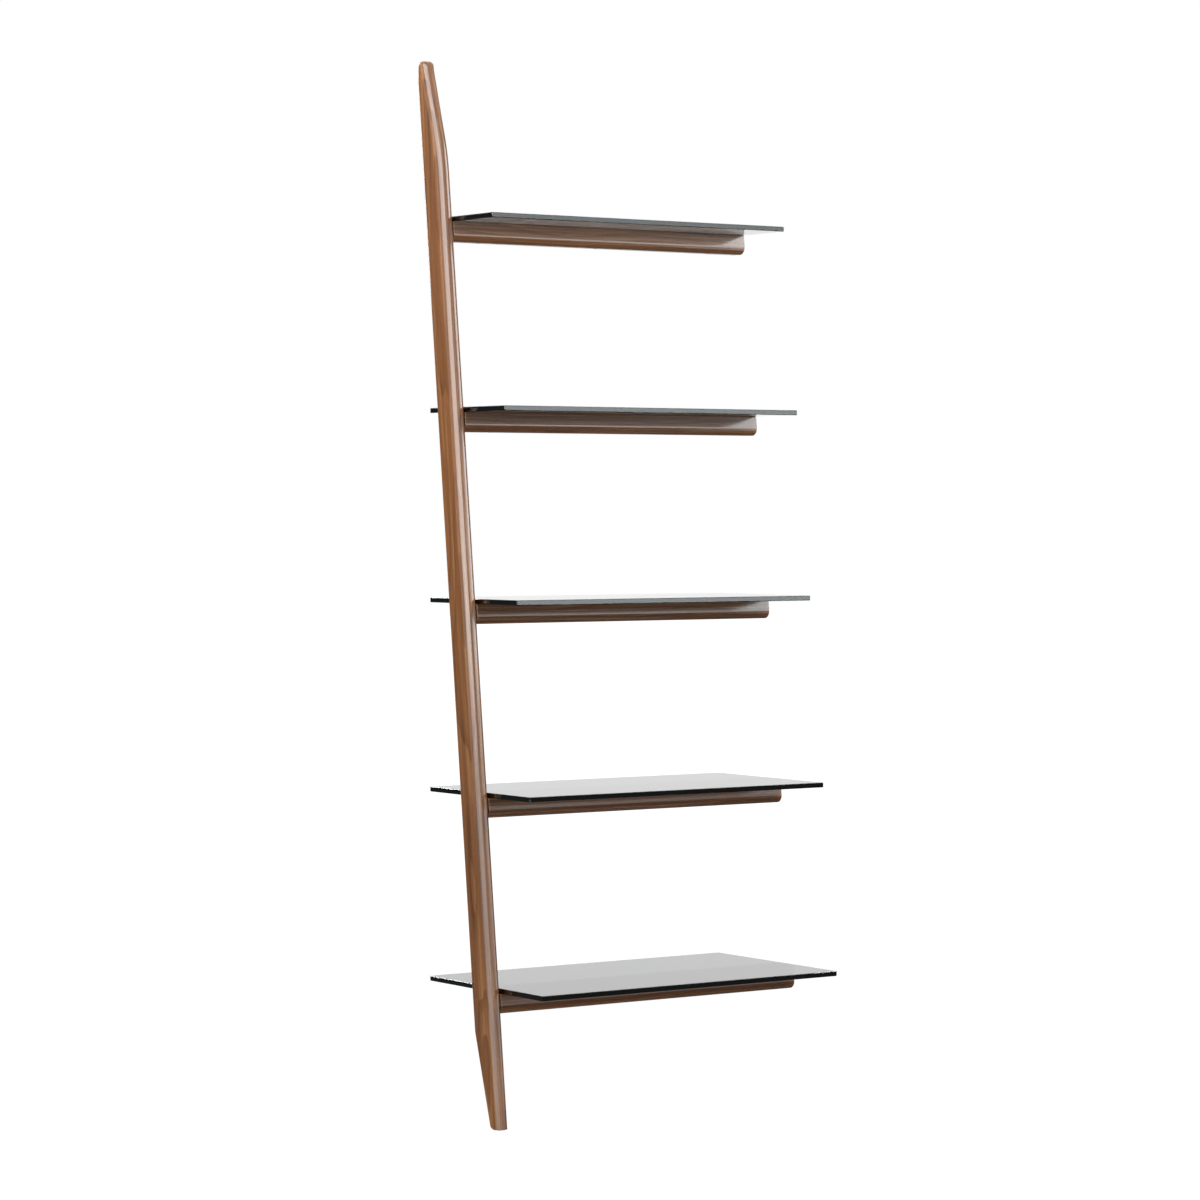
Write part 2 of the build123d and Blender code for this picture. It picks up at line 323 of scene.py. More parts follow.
@dataclass(frozen=True)
class WalnutFinish(Finish):
    """Satin walnut cut along the grain: growth rings, streaks, fibres and short dark pores.

    A scale holds two values across the grain and one along it. The pith is the shift in metres that brings
    the middle of the rings onto Z, once the grain is turned that way.
    """

    grain: Grain
    pith: Point
    pale: RGB = (165, 120, 77)
    brown: RGB = (127, 82, 48)
    dark: RGB = (90, 56, 33)
    amber: RGB = (159, 101, 55)
    across: Point = (1.0, 1.0, 0.0)
    ring_width: float = 0.0085
    ring_tones: tuple[Spot, ...] = ((0.0, 0.12), (0.55, 0.3), (0.86, 0.85), (0.96, 1.0), (1.0, 0.12))
    ring_share: float = 0.34
    sway: float = 0.055
    sway_scale: Point = (9.0, 9.0, 1.8)
    streak_scale: Point = (230.0, 70.0, 1.3)
    streak_edges: Edges = (0.3, 0.72)
    streak_waver: float = 0.3
    streak_share: float = 0.44
    fibre_scale: Point = (1100.0, 1100.0, 16.0)
    fibre_share: float = 0.32
    fibre_relief: float = 0.5
    pore_scale: Point = (2600.0, 2600.0, 95.0)
    pore_detail: float = 1.0
    pore_edges: Edges = (0.6, 0.72)
    pore_share: float = 0.55
    amber_scale: Point = (22.0, 22.0, 1.0)
    amber_edges: Edges = (0.42, 0.7)
    amber_share: float = 0.35
    lightening: float = 0.07
    brown_edges: Edges = (0.05, 0.5)
    dark_edges: Edges = (0.45, 0.95)
    relief_depth: float = 0.0002
    relief_strength: float = 0.25
    roughness: float = 0.45
    fibre_roughness: float = 0.1
    pore_roughness: float = 0.15
    coat_lost_in_pores: float = 0.4
    coat_roughness: float = 0.16
    coat_bend: float = 1.7

    def lay(self, sheet: NodeSheet) -> None:
        """Fill the sheet: rings around the pith line, drawn out along the grain with streaks and pores.

        Args:
            sheet: Sheet of the finish's material.
        """
        feeds = {"Vector": sheet.place(), "Rotation": self.grain.value, "Location": self.pith}
        board = sheet.add("ShaderNodeMapping", feeds=feeds)["Vector"]
        radius = sheet.length(sheet.stretched(board, self.across))
        sway = sheet.noise(sheet.stretched(board, self.sway_scale))
        year = ((radius + sway * self.sway) / self.ring_width) % 1.0
        late = sheet.ramp(year, self.ring_tones)
        streak = sheet.noise(sheet.stretched(board, self.streak_scale), distortion=self.streak_waver)
        fibre = sheet.noise(sheet.stretched(board, self.fibre_scale))
        pores = sheet.noise(sheet.stretched(board, self.pore_scale), detail=self.pore_detail)
        pore = sheet.span(pores, *self.pore_edges)
        amber = sheet.span(sheet.noise(sheet.stretched(board, self.amber_scale)), *self.amber_edges)
        depth = late * self.ring_share + sheet.span(streak, *self.streak_edges) * self.streak_share
        depth = depth + fibre * self.fibre_share - self.lightening
        shade = sheet.mix(sheet.span(depth, *self.brown_edges), paint(self.pale), paint(self.brown))
        shade = sheet.mix(sheet.span(depth, *self.dark_edges), shade, paint(self.dark))
        shade = sheet.mix(amber * self.amber_share, shade, paint(self.amber))
        shade = sheet.mix(pore * self.pore_share, shade, paint(self.dark))
        relief = sheet.relief(fibre * self.fibre_relief - pore, self.relief_depth, self.relief_strength)
        sheet.surface({
            "Base Color": shade,
            "Roughness": self.roughness + fibre * self.fibre_roughness + pore * self.pore_roughness,
            "Normal": relief,
            "Coat Weight": 1.0 - pore * self.coat_lost_in_pores,
            "Specular IOR Level": 0.0,
            "Coat Roughness": self.coat_roughness,
            "Coat IOR": self.coat_bend,
        })


@dataclass(frozen=True)
class TintedGlassFinish(Finish):
    """Dark grey glass: clear polished faces over a body that soaks up most of the light."""

    tint: RGB = (96, 102, 108)
    density: float = 170.0
    bend: float = 1.65
    wiping_scale: Point = (9.0, 30.0, 30.0)
    wiping_detail: float = 4.0
    wiping_swirl: float = 0.6
    wiping_edges: Edges = (0.55, 0.8)
    wiping_roughness: float = 0.008

    def lay(self, sheet: NodeSheet) -> None:
        """Fill the sheet: an even absorbing body under faces with a trace of wiping marks.

        Args:
            sheet: Sheet of the finish's material.
        """
        place = sheet.stretched(sheet.place(), self.wiping_scale)
        wiping = sheet.noise(place, detail=self.wiping_detail, distortion=self.wiping_swirl)
        volume_feeds = {"Color": paint(self.tint), "Density": self.density}
        volume = sheet.add("ShaderNodeVolumeAbsorption", feeds=volume_feeds)["Volume"]
        sheet.surface({
            "Base Color": WHITE,
            "Roughness": sheet.span(wiping, *self.wiping_edges) * self.wiping_roughness,
            "IOR": self.bend,
            "Transmission Weight": 1.0,
        }, volume)


@dataclass(frozen=True)
class PlatedSteelFinish(Finish):
    """Zinc plated steel with a faint cloudy bloom and turning marks."""

    bright: RGB = (176, 179, 182)
    bloom: RGB = (138, 143, 148)
    cloud_scale: float = 260.0
    cloud_detail: float = 4.0
    cloud_edges: Edges = (0.35, 0.68)
    scratch_scale: float = 3200.0
    roughness: float = 0.26
    cloud_roughness: float = 0.14
    scratch_roughness: float = 0.08
    relief_depth: float = 0.00005
    relief_strength: float = 0.2

    def lay(self, sheet: NodeSheet) -> None:
        """Fill the sheet: patches of duller plating, and a fine scratched roughness.

        Args:
            sheet: Sheet of the finish's material.
        """
        place = sheet.place()
        cloud = sheet.span(sheet.noise(place, self.cloud_scale, self.cloud_detail), *self.cloud_edges)
        scratch = sheet.noise(place, self.scratch_scale)
        sheet.surface({
            "Base Color": sheet.mix(cloud, paint(self.bright), paint(self.bloom)),
            "Metallic": 1.0,
            "Roughness": self.roughness + cloud * self.cloud_roughness + scratch * self.scratch_roughness,
            "Normal": sheet.relief(scratch, self.relief_depth, self.relief_strength),
        })


@dataclass(frozen=True)
class BlackCoatFinish(Finish):
    """Black coat on metal, with the small pebbles of a baked powder."""

    black: RGB = (24, 24, 25)
    rubbed: RGB = (46, 46, 48)
    pebble_scale: float = 1400.0
    pebble_detail: float = 3.0
    wear_scale: float = 90.0
    wear_detail: float = 4.0
    wear_edges: Edges = (0.55, 0.8)
    wear_share: float = 0.6
    roughness: float = 0.48
    pebble_roughness: float = 0.16
    wear_polish: float = 0.12
    relief_depth: float = 0.00012
    relief_strength: float = 0.35

    def lay(self, sheet: NodeSheet) -> None:
        """Fill the sheet: pebbled black, a little paler where the film is rubbed.

        Args:
            sheet: Sheet of the finish's material.
        """
        place = sheet.place()
        pebbles = sheet.noise(place, self.pebble_scale, self.pebble_detail)
        wear = sheet.span(sheet.noise(place, self.wear_scale, self.wear_detail), *self.wear_edges)
        sheet.surface({
            "Base Color": sheet.mix(wear * self.wear_share, paint(self.black), paint(self.rubbed)),
            "Roughness": self.roughness + pebbles * self.pebble_roughness - wear * self.wear_polish,
            "Normal": sheet.relief(pebbles, self.relief_depth, self.relief_strength),
        })


@dataclass(frozen=True)
class BeechFinish(Finish):
    """Pale pressed beech with fine flecks along the dowel."""

    pale: RGB = (205, 170, 128)
    fleck: RGB = (166, 124, 84)
    fibre_scale: Point = (40.0, 1500.0, 1500.0)
    fibre_share: float = 0.25
    fleck_scale: Point = (220.0, 1900.0, 1900.0)
    fleck_edges: Edges = (0.55, 0.7)
    fleck_share: float = 0.7
    roughness: float = 0.58
    fibre_roughness: float = 0.2
    relief_depth: float = 0.0001
    relief_strength: float = 0.3

    def lay(self, sheet: NodeSheet) -> None:
        """Fill the sheet: fibres along X with short darker flecks.

        Args:
            sheet: Sheet of the finish's material.
        """
        place = sheet.place()
        fibre = sheet.noise(sheet.stretched(place, self.fibre_scale))
        fleck = sheet.span(sheet.noise(sheet.stretched(place, self.fleck_scale)), *self.fleck_edges)
        share = fleck * self.fleck_share + fibre * self.fibre_share
        sheet.surface({
            "Base Color": sheet.mix(share, paint(self.pale), paint(self.fleck)),
            "Roughness": self.roughness + fibre * self.fibre_roughness,
            "Normal": sheet.relief(fibre, self.relief_depth, self.relief_strength),
        })


@dataclass(frozen=True)
class GripRubberFinish(Finish):
    """Dull black rubber with a dusty bloom."""

    black: RGB = (30, 30, 30)
    dust: RGB = (70, 68, 65)
    skin_scale: float = 1800.0
    dust_scale: float = 300.0
    detail: float = 3.0
    dust_edges: Edges = (0.5, 0.75)
    dust_share: float = 0.5
    roughness: float = 0.72
    skin_roughness: float = 0.2
    relief_depth: float = 0.0001
    relief_strength: float = 0.4

    def lay(self, sheet: NodeSheet) -> None:
        """Fill the sheet: grained black with dust in patches.

        Args:
            sheet: Sheet of the finish's material.
        """
        place = sheet.place()
        skin = sheet.noise(place, self.skin_scale, self.detail)
        dust = sheet.span(sheet.noise(place, self.dust_scale, self.detail), *self.dust_edges)
        sheet.surface({
            "Base Color": sheet.mix(dust * self.dust_share, paint(self.black), paint(self.dust)),
            "Roughness": self.roughness + skin * self.skin_roughness,
            "Normal": sheet.relief(skin, self.relief_depth, self.relief_strength),
        })


# Surfaces


class Axis(Enum):
    """Axis that a piece runs along; the value places (first, second, along) as X, Y and Z."""

    X = (2, 0, 1)
    Y = (0, 2, 1)
    Z = (0, 1, 2)


class Caps(Enum):
    """Which end rows of a grid are each closed by one face."""

    NONE = 0
    FIRST = 1
    BOTH = 2


@dataclass
class Shell:
    """Points in millimetres and the faces that join them."""

    points: Array
    faces: list[list[int]]

    def __add__(self, other: "Shell") -> "Shell":
        """Put both shells in one, with the other's faces counted on from this shell's points.

        Args:
            other: Shell that follows.

        Returns:
            The joined shell.
        """
        shift = len(self.points)
        moved = [[index + shift for index in face] for face in other.faces]
        return Shell(np.vstack([self.points, other.points]), self.faces + moved)

    def to_object(self, name: str) -> bpy.types.Object:
        """Make an object at the origin: doubles merged, faces outwards, in metres.

        Args:
            name: Name of the object and its mesh.

        Returns:
            The object, linked to the scene.
        """
        mesh = bpy.data.meshes.new(name)
        mesh.from_pydata((self.points * MM).tolist(), [], self.faces)
        weld(mesh, MERGE_DISTANCE, outwards=True)
        piece = bpy.data.objects.new(name, mesh)
        bpy.context.scene.collection.objects.link(piece)
        return piece


def weld(mesh: bpy.types.Mesh, distance: float, outwards: bool = False) -> None:
    """Merge the points of a mesh that nearly coincide.

    Args:
        mesh: Mesh to change.
        distance: Points closer than this, in metres, become one.
        outwards: Whether the faces of the closed mesh are then turned outwards.
    """
    editor = bmesh.new()
    editor.from_mesh(mesh)
    bmesh.ops.remove_doubles(editor, verts=editor.verts, dist=distance)
    if outwards:
        bmesh.ops.recalc_face_normals(editor, faces=editor.faces)
    editor.to_mesh(mesh)
    editor.free()


def joined(shells: list[Shell]) -> Shell:
    """All shells in one."""
    return sum(shells[1:], shells[0])


def grid_shell(points: Array, ring: bool = False, caps: Caps = Caps.NONE) -> Shell:
    """Join a grid of points into quads that close around its columns.

    Args:
        points: Rows by columns by 3 positions; each row is one closed loop.
        ring: Whether the last row joins the first, as on a plate with a hole.
        caps: End rows that are closed.

    Returns:
        The shell.
    """
    rows, columns = points.shape[:2]
    index = np.arange(rows * columns).reshape(rows, columns)
    loops = np.vstack([index, index[:1]]) if ring else index
    loops = np.hstack([loops, loops[:, :1]])
    quads = np.stack([loops[:-1, :-1], loops[:-1, 1:], loops[1:, 1:], loops[1:, :-1]], axis=-1)
    faces = quads.reshape(-1, 4).tolist()
    ends = [index[0, ::-1].tolist(), index[-1].tolist()]
    faces += ends[: caps.value]
    return Shell(points.reshape(-1, 3), faces)


def rounded_path(corners: Array, radii: Array, closed: bool) -> tuple[Array, Array]:
    """Follow straight runs through corners, with each corner an arc that touches both of its runs.

    A corner turns the heading by t, so its arc starts radius * tan(|t| / 2) before the corner. The arc's
    points lie at one radius from its centre, along the normal to the right of the turning heading.

    Args:
        corners: Corners by 2 positions, counterclockwise where the path is closed.
        radii: Radius of each corner.
        closed: Whether the last corner runs back to the first.

    Returns:
        Points and their normals to the right, which is outwards, ARC_STEPS + 1 for each corner.
    """
    step_in = corners - np.roll(corners, 1, axis=0)
    step_out = np.roll(corners, -1, axis=0) - corners
    heading_in = np.arctan2(step_in[:, 1], step_in[:, 0])
    heading_out = np.arctan2(step_out[:, 1], step_out[:, 0])
    if not closed:
        heading_in[0] = heading_out[0]
        heading_out[-1] = heading_in[-1]
    turn = (heading_out - heading_in + pi) % (2 * pi) - pi
    heading = heading_in[:, None] + turn[:, None] * np.linspace(0.0, 1.0, ARC_STEPS + 1)
    right = np.stack([np.sin(heading), -np.cos(heading)], axis=-1)
    along = np.stack([np.cos(heading_in), np.sin(heading_in)], axis=-1)
    start = corners - along * (radii * np.tan(np.abs(turn) / 2))[:, None]
    reach = (np.sign(turn) * radii)[:, None, None]
    points = start[:, None] + reach * (right - right[:, :1])
    return points.reshape(-1, 2), right.reshape(-1, 2)


def rim_grid(outline: Array, normals: Array, inset: Array, along: Array, axis: Axis) -> Array:
    """Carry a closed outline along an axis, drawn in by an inset that changes on the way.

    The point of row i and column j is outline j less inset i times its normal, at the height along i.

    Args:
        outline: Columns by 2 positions in the plane across the axis.
        normals: Outward normals there.
        inset: How far each row is drawn in.
        along: Where each row is on the axis.
        axis: Axis of the piece.

    Returns:
        Rows by columns by 3 positions.
    """
    across = outline - inset[:, None, None] * normals
    height = np.broadcast_to(along[:, None, None], (*across.shape[:2], 1))
    return np.concatenate([across, height], axis=-1)[..., list(axis.value)]


def turned_grid(centre: Spot, rows: list[tuple], columns: int, axis: Axis) -> Array:
    """Carry a radius round an axis.

    The angle grows by column. Each row is (along, radius), where both may change with the angle, so that a
    row may be a hexagon, a square or one turn of a screw thread.

    Args:
        centre: Where the axis is, in the plane across it.
        rows: Height and radius of each row, as numbers or as arrays with one value for each column.
        columns: Number of columns.
        axis: Axis of the piece.

    Returns:
        Rows by columns by 3 positions.
    """
    angle = turn_angles(columns)
    along = np.array([np.broadcast_to(row[0], columns) for row in rows])
    radius = np.array([np.broadcast_to(row[1], columns) for row in rows])
    first = centre[0] + radius * np.cos(angle)
    second = centre[1] + radius * np.sin(angle)
    return np.stack([first, second, along], axis=-1)[..., list(axis.value)]


def turn_angles(columns: int) -> Array:
    """Angle of each column round a full turn."""
    return np.linspace(0.0, 2 * pi, columns, endpoint=False)


def hexagon(across_flats: float, columns: int) -> Array:
    """Radius of a hexagon at each angle: half its width over the cosine of the angle from a flat's middle."""
    return across_flats / 2 / np.cos(turn_angles(columns) % (pi / 3) - pi / 6)


def square(side: float, columns: int) -> Array:
    """Radius of a square at each angle: half its side over the larger of |cosine| and |sine|."""
    angle = turn_angles(columns)
    return side / 2 / np.maximum(np.abs(np.cos(angle)), np.abs(np.sin(angle)))


def thread_rows(start: float, end: float, diameter: float, pitch: float, columns: int) -> list[tuple]:
    """Rows of a screw thread.

    The radius falls from the crest to the root and back once for each pitch along the axis, and the crest
    moves on by one pitch for each turn, so the phase is along / pitch - angle / full turn.

    Args:
        start: Where the thread starts on the axis.
        end: Where it ends; may lie before the start.
        diameter: Diameter over the crests.
        pitch: Distance from crest to crest.
        columns: Number of columns.

    Returns:
        Rows for turned_grid.
    """
    count = int(abs(end - start) / pitch * THREAD_ROWS) + 2
    along = np.linspace(start, end, count)
    phase = (along[:, None] / pitch - turn_angles(columns) / (2 * pi)) % 1.0
    radius = diameter / 2 - THREAD_DEPTH * pitch * np.abs(2 * phase - 1)
    return list(zip(along, radius))


def drill(centre: Spot, diameter: float, start: float, end: float, axis: Axis) -> Shell:
    """Round cutter from one place on an axis to another."""
    rows = [(start, diameter / 2), (end, diameter / 2)]
    return grid_shell(turned_grid(centre, rows, HOLE_COLUMNS, axis), caps=Caps.BOTH)


def carve(piece: bpy.types.Object, cutter: Shell) -> None:
    """Cut a shell, whose parts may overlap, out of a piece and keep the result as its mesh.

    Args:
        piece: Closed piece.
        cutter: Closed shells to take away.
    """
    tool = cutter.to_object("cutter")
    cut = piece.modifiers.new("cut", "BOOLEAN")
    cut.operation = "DIFFERENCE"
    cut.solver = "EXACT"
    cut.use_self = True
    cut.object = tool
    whole = piece.data
    carved = bpy.data.meshes.new_from_object(piece.evaluated_get(bpy.context.evaluated_depsgraph_get()))
    piece.modifiers.clear()
    piece.data = carved
    bpy.data.meshes.remove(whole)
    bpy.data.meshes.remove(tool.data)  # The cutter's object goes with its mesh.
    carved.name = piece.name
    weld(carved, WELD_DISTANCE)


def dress(piece: bpy.types.Object, finish: Finish, node: str) -> None:
    """Shade and finish a piece, which rides with the bay and stands for a node of the frame.

    Args:
        piece: Piece with its final mesh.
        finish: Finish that it takes.
        node: Node that it replaces.
    """
    mesh = piece.data
    mesh.materials.clear()
    mesh.materials.append(finish.material())
    mesh.shade_smooth()
    mesh.set_sharp_from_angle(angle=SHARP_ANGLE)
    shading = piece.modifiers.new("flat_faces", "WEIGHTED_NORMAL")
    shading.keep_sharp = True
    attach(piece, BODY)
    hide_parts(node)
    log.info("%s: %d points, %s", piece.name, len(mesh.vertices), finish.name)


# Sub-assemblies


@dataclass(frozen=True)
class Bay:
    """Sizes that the sub-assemblies share, and the places that follow from them."""

    height: float = 2105.0
    lean_angle: float = LEAN_ANGLE
    shelf_count: int = 5
    lowest_shelf_height: float = 271.0
    top_shelf_below_tip: float = 314.0
    glass_width: float = 720.0
    glass_thickness: float = 10.0
    lowest_glass_depth: float = 405.0
    glass_depth_step: float = 44.0
    glass_end_gap: float = 1.0
    post_width: float = 31.5
    post_depth: float = 62.5
    wall_flat_height: float = 39.0
    beam_height: float = 40.0
    pad_proud: float = 0.8
    glass_rest_gap: float = 0.05

    @property
    def rows(self) -> range:
        """Shelves, counted from the lowest."""
        return range(self.shelf_count)

    @property
    def lean(self) -> float:
        """Run towards the wall for each unit of height."""
        return tan(radians(self.lean_angle))

    @property
    def beam_length(self) -> float:
        """Length of a beam, a gap longer than the glass at each end."""
        return self.glass_width + 2 * self.glass_end_gap

    @property
    def post_outer_x(self) -> float:
        """X of the post's outer face."""
        return -(self.post_width + self.beam_length) / 2

    @property
    def post_inner_x(self) -> float:
        """X of the post's inner face, where the beams start."""
        return self.post_outer_x + self.post_width

    @property
    def beam_end_x(self) -> float:
        """X of the beams' far end."""
        return self.post_inner_x + self.beam_length

    @property
    def wall_y(self) -> float:
        """Y of the wall, which the glass and the post's tip meet."""
        return self.lowest_glass_depth / 2

    def back_y(self, z: float) -> float:
        """Y of the post's leaning back at a height."""
        return self.wall_y - (self.height - self.wall_flat_height - z) * self.lean

    def front_y(self, z: float) -> float:
        """Y of the post's leaning front at a height."""
        return self.back_y(z) - self.post_depth / cos(radians(self.lean_angle))

    def glass_top(self, row: int) -> float:
        """Height of a shelf's upper face."""
        climb = self.height - self.top_shelf_below_tip - self.lowest_shelf_height
        return self.lowest_shelf_height + row * climb / (self.shelf_count - 1)

    def glass_depth(self, row: int) -> float:
        """Depth of a shelf from the wall."""
        return self.lowest_glass_depth - row * self.glass_depth_step

    def beam_top(self, row: int) -> float:
        """Height of a beam's top."""
        return self.glass_top(row) - self.glass_thickness

    def beam_axis(self, row: int) -> Spot:
        """Y and Z of the line through the middle of a beam's section."""
        z = self.beam_top(row) - self.beam_height / 2
        return (self.front_y(z) + self.back_y(z)) / 2, z


@dataclass(frozen=True)
class RailJoint:
    """Rail bolt with its washer and nut, and the two dowels, that draw a beam's end to the post."""

    bay: Bay
    steel: Finish
    beech: Finish
    bolt_diameter: float = 8.0
    bolt_pitch: float = 1.25
    bolt_depth_in_post: float = 22.0
    bolt_past_nut: float = 3.0
    bolt_chamfer: float = 1.0
    bolt_columns: int = 24
    end_wall: float = 30.0
    washer_size: float = 16.0
    washer_thickness: float = 3.0
    washer_edge: float = 0.5
    nut_width: float = 13.0
    nut_height: float = 6.5
    nut_face_share: float = 0.95
    nut_cone: float = 30.0
    flat_columns: int = 48
    pocket_clearance: float = 1.0
    wrench_room: float = 13.5
    pocket_corner: float = 3.0
    dowel_diameter: float = 8.0
    dowel_length: float = 40.0
    dowel_spacing: float = 26.0
    dowel_nose: float = 1.0
    flute_count: int = 12
    flute_depth: float = 0.35
    flute_columns: int = 6
    hole_clearance: float = 0.2
    bore_clearance: float = 1.0
    blind_gap: float = 1.0

    @property
    def pocket_length(self) -> float:
        """Length of the pocket for the washer, the nut and a wrench."""
        return self.washer_thickness + self.nut_height + self.bolt_past_nut + self.wrench_room

    @property
    def bolt_hole(self) -> float:
        """Diameter of a close hole for the bolt."""
        return self.bolt_diameter + self.hole_clearance

    @property
    def dowel_hole(self) -> float:
        """Diameter of a dowel's hole."""
        return self.dowel_diameter + self.hole_clearance

    @property
    def dowel_hole_depth(self) -> float:
        """Depth of a dowel's hole on each side of the joint."""
        return (self.dowel_length + self.blind_gap) / 2

    def dowel_places(self, row: int) -> list[Spot]:
        """Y and Z of the two dowels, one each side of the bolt."""
        y, z = self.bay.beam_axis(row)
        return [(y - self.dowel_spacing / 2, z), (y + self.dowel_spacing / 2, z)]

    def post_cutter(self, row: int) -> Shell:
        """Holes for the bolt and the dowels in the post's inner face.

        Args:
            row: Shelf, counted from the lowest.

        Returns:
            The cutter.
        """
        face = self.bay.post_inner_x
        bolt_bottom = face - self.bolt_depth_in_post - self.blind_gap
        dowel_bottom = face - self.dowel_hole_depth
        mouth = face + CUT_MARGIN
        bolt = drill(self.bay.beam_axis(row), self.bolt_hole, bolt_bottom, mouth, Axis.X)
        places = self.dowel_places(row)
        dowels = [drill(place, self.dowel_hole, dowel_bottom, mouth, Axis.X) for place in places]
        return joined([bolt, *dowels])

    def beam_cutter(self, row: int, end_x: float, inward: int) -> Shell:
        """Bore, dowel holes and rear pocket at one end of a beam.

        Args:
            row: Shelf, counted from the lowest.
            end_x: X of the beam's end.
            inward: 1 where the beam runs on towards +X, -1 where it runs towards -X.

        Returns:
            The cutter.
        """
        y, z = self.bay.beam_axis(row)
        mouth = end_x - inward * CUT_MARGIN
        middle = end_x + inward * (self.end_wall + self.pocket_length / 2)
        bore = drill((y, z), self.bolt_diameter + self.bore_clearance, mouth, middle, Axis.X)
        bottom = end_x + inward * self.dowel_hole_depth
        dowels = [drill(place, self.dowel_hole, mouth, bottom, Axis.X) for place in self.dowel_places(row)]
        half = np.array([self.pocket_length / 2, self.washer_size / 2 + self.pocket_corner])
        corners = np.array([middle, z]) + half * BOX_CORNERS
        outline, normals = rounded_path(corners, np.full(4, self.pocket_corner), closed=True)
        floor_y = y - self.washer_size / 2 - self.pocket_clearance
        depth = np.array([floor_y, y + self.bay.post_depth])
        pocket = grid_shell(rim_grid(outline, normals, np.zeros(2), depth, Axis.Y), caps=Caps.BOTH)
        return joined([bore, pocket, *dowels])

    def bolt(self, row: int) -> Shell:
        """Threaded rod with chamfered ends, from the post to past the nut.

        Args:
            row: Shelf, counted from the lowest.

        Returns:
            The bolt.
        """
        columns = self.bolt_columns
        start = self.bay.post_inner_x - self.bolt_depth_in_post
        stack = self.end_wall + self.washer_thickness + self.nut_height + self.bolt_past_nut
        end = self.bay.post_inner_x + stack
        nose = self.bolt_diameter / 2 - self.bolt_chamfer
        thread = thread_rows(
            start + self.bolt_chamfer, end - self.bolt_chamfer, self.bolt_diameter, self.bolt_pitch, columns)
        rows = [(start, 0.0), (start, nose), *thread, (end, nose), (end, 0.0)]
        return grid_shell(turned_grid(self.bay.beam_axis(row), rows, columns, Axis.X))

    def washer(self, row: int) -> Shell:
        """Square plate with a hole and broken edges.

        Args:
            row: Shelf, counted from the lowest.

        Returns:
            The washer.
        """
        columns = self.flat_columns
        hole = self.bolt_hole / 2
        near = self.bay.post_inner_x + self.end_wall
        far = near + self.washer_thickness
        side = square(self.washer_size, columns)
        face = square(self.washer_size - 2 * self.washer_edge, columns)
        rows = [
            (near, hole), (near, face), (near + self.washer_edge, side),
            (far - self.washer_edge, side), (far, face), (far, hole),
        ]
        return grid_shell(turned_grid(self.bay.beam_axis(row), rows, columns, Axis.X), ring=True)

    def nut(self, row: int) -> Shell:
        """Hexagon nut whose corners are turned off by a flat cone at both faces.

        Outside the face the cone falls by the radius there less the face's, times the tangent of its angle.

        Args:
            row: Shelf, counted from the lowest.

        Returns:
            The nut, without a thread in its hole.
        """
        columns = self.flat_columns
        hole = self.bolt_hole / 2
        near = self.bay.post_inner_x + self.end_wall + self.washer_thickness
        far = near + self.nut_height
        flats = hexagon(self.nut_width, columns)
        face = self.nut_width / 2 * self.nut_face_share
        fall = (flats - face) * tan(radians(self.nut_cone))
        rows = [
            (near, hole), (near, face), (near + fall, flats),
            (far - fall, flats), (far, face), (far, hole),
        ]
        return grid_shell(turned_grid(self.bay.beam_axis(row), rows, columns, Axis.X), ring=True)

    def dowels(self, row: int) -> Shell:
        """Dowels with pressed flutes: between their noses the radius dips once for each flute.

        The dip is the flute's depth times the cosine of flute_count times the angle, where that is positive.

        Args:
            row: Shelf, counted from the lowest.

        Returns:
            Both dowels.
        """
        columns = self.flute_count * self.flute_columns
        dip = np.maximum(0.0, np.cos(turn_angles(columns) * self.flute_count)) * self.flute_depth
        start = self.bay.post_inner_x - self.dowel_length / 2
        end = start + self.dowel_length
        barrel = self.dowel_diameter / 2 - dip
        nose = self.dowel_diameter / 2 - self.dowel_nose
        rows = [
            (start, 0.0), (start, nose), (start + self.dowel_nose, barrel),
            (end - self.dowel_nose, barrel), (end, nose), (end, 0.0),
        ]
        places = self.dowel_places(row)
        return joined([grid_shell(turned_grid(place, rows, columns, Axis.X)) for place in places])

    def build(self, row: int) -> None:
        """Build and dress the fasteners of one shelf.

        Args:
            row: Shelf, counted from the lowest.
        """
        number = row + 1
        dress(self.bolt(row).to_object(f"threaded_bolt_{number}"), self.steel, f"rail_bolt_{number}")
        dress(self.washer(row).to_object(f"square_washer_{number}"), self.steel, f"rail_washer_{number}")
        dress(self.nut(row).to_object(f"hexagon_nut_{number}"), self.steel, f"rail_nut_{number}")
        dress(self.dowels(row).to_object(f"fluted_dowels_{number}"), self.beech, f"beam_dowels_{number}")


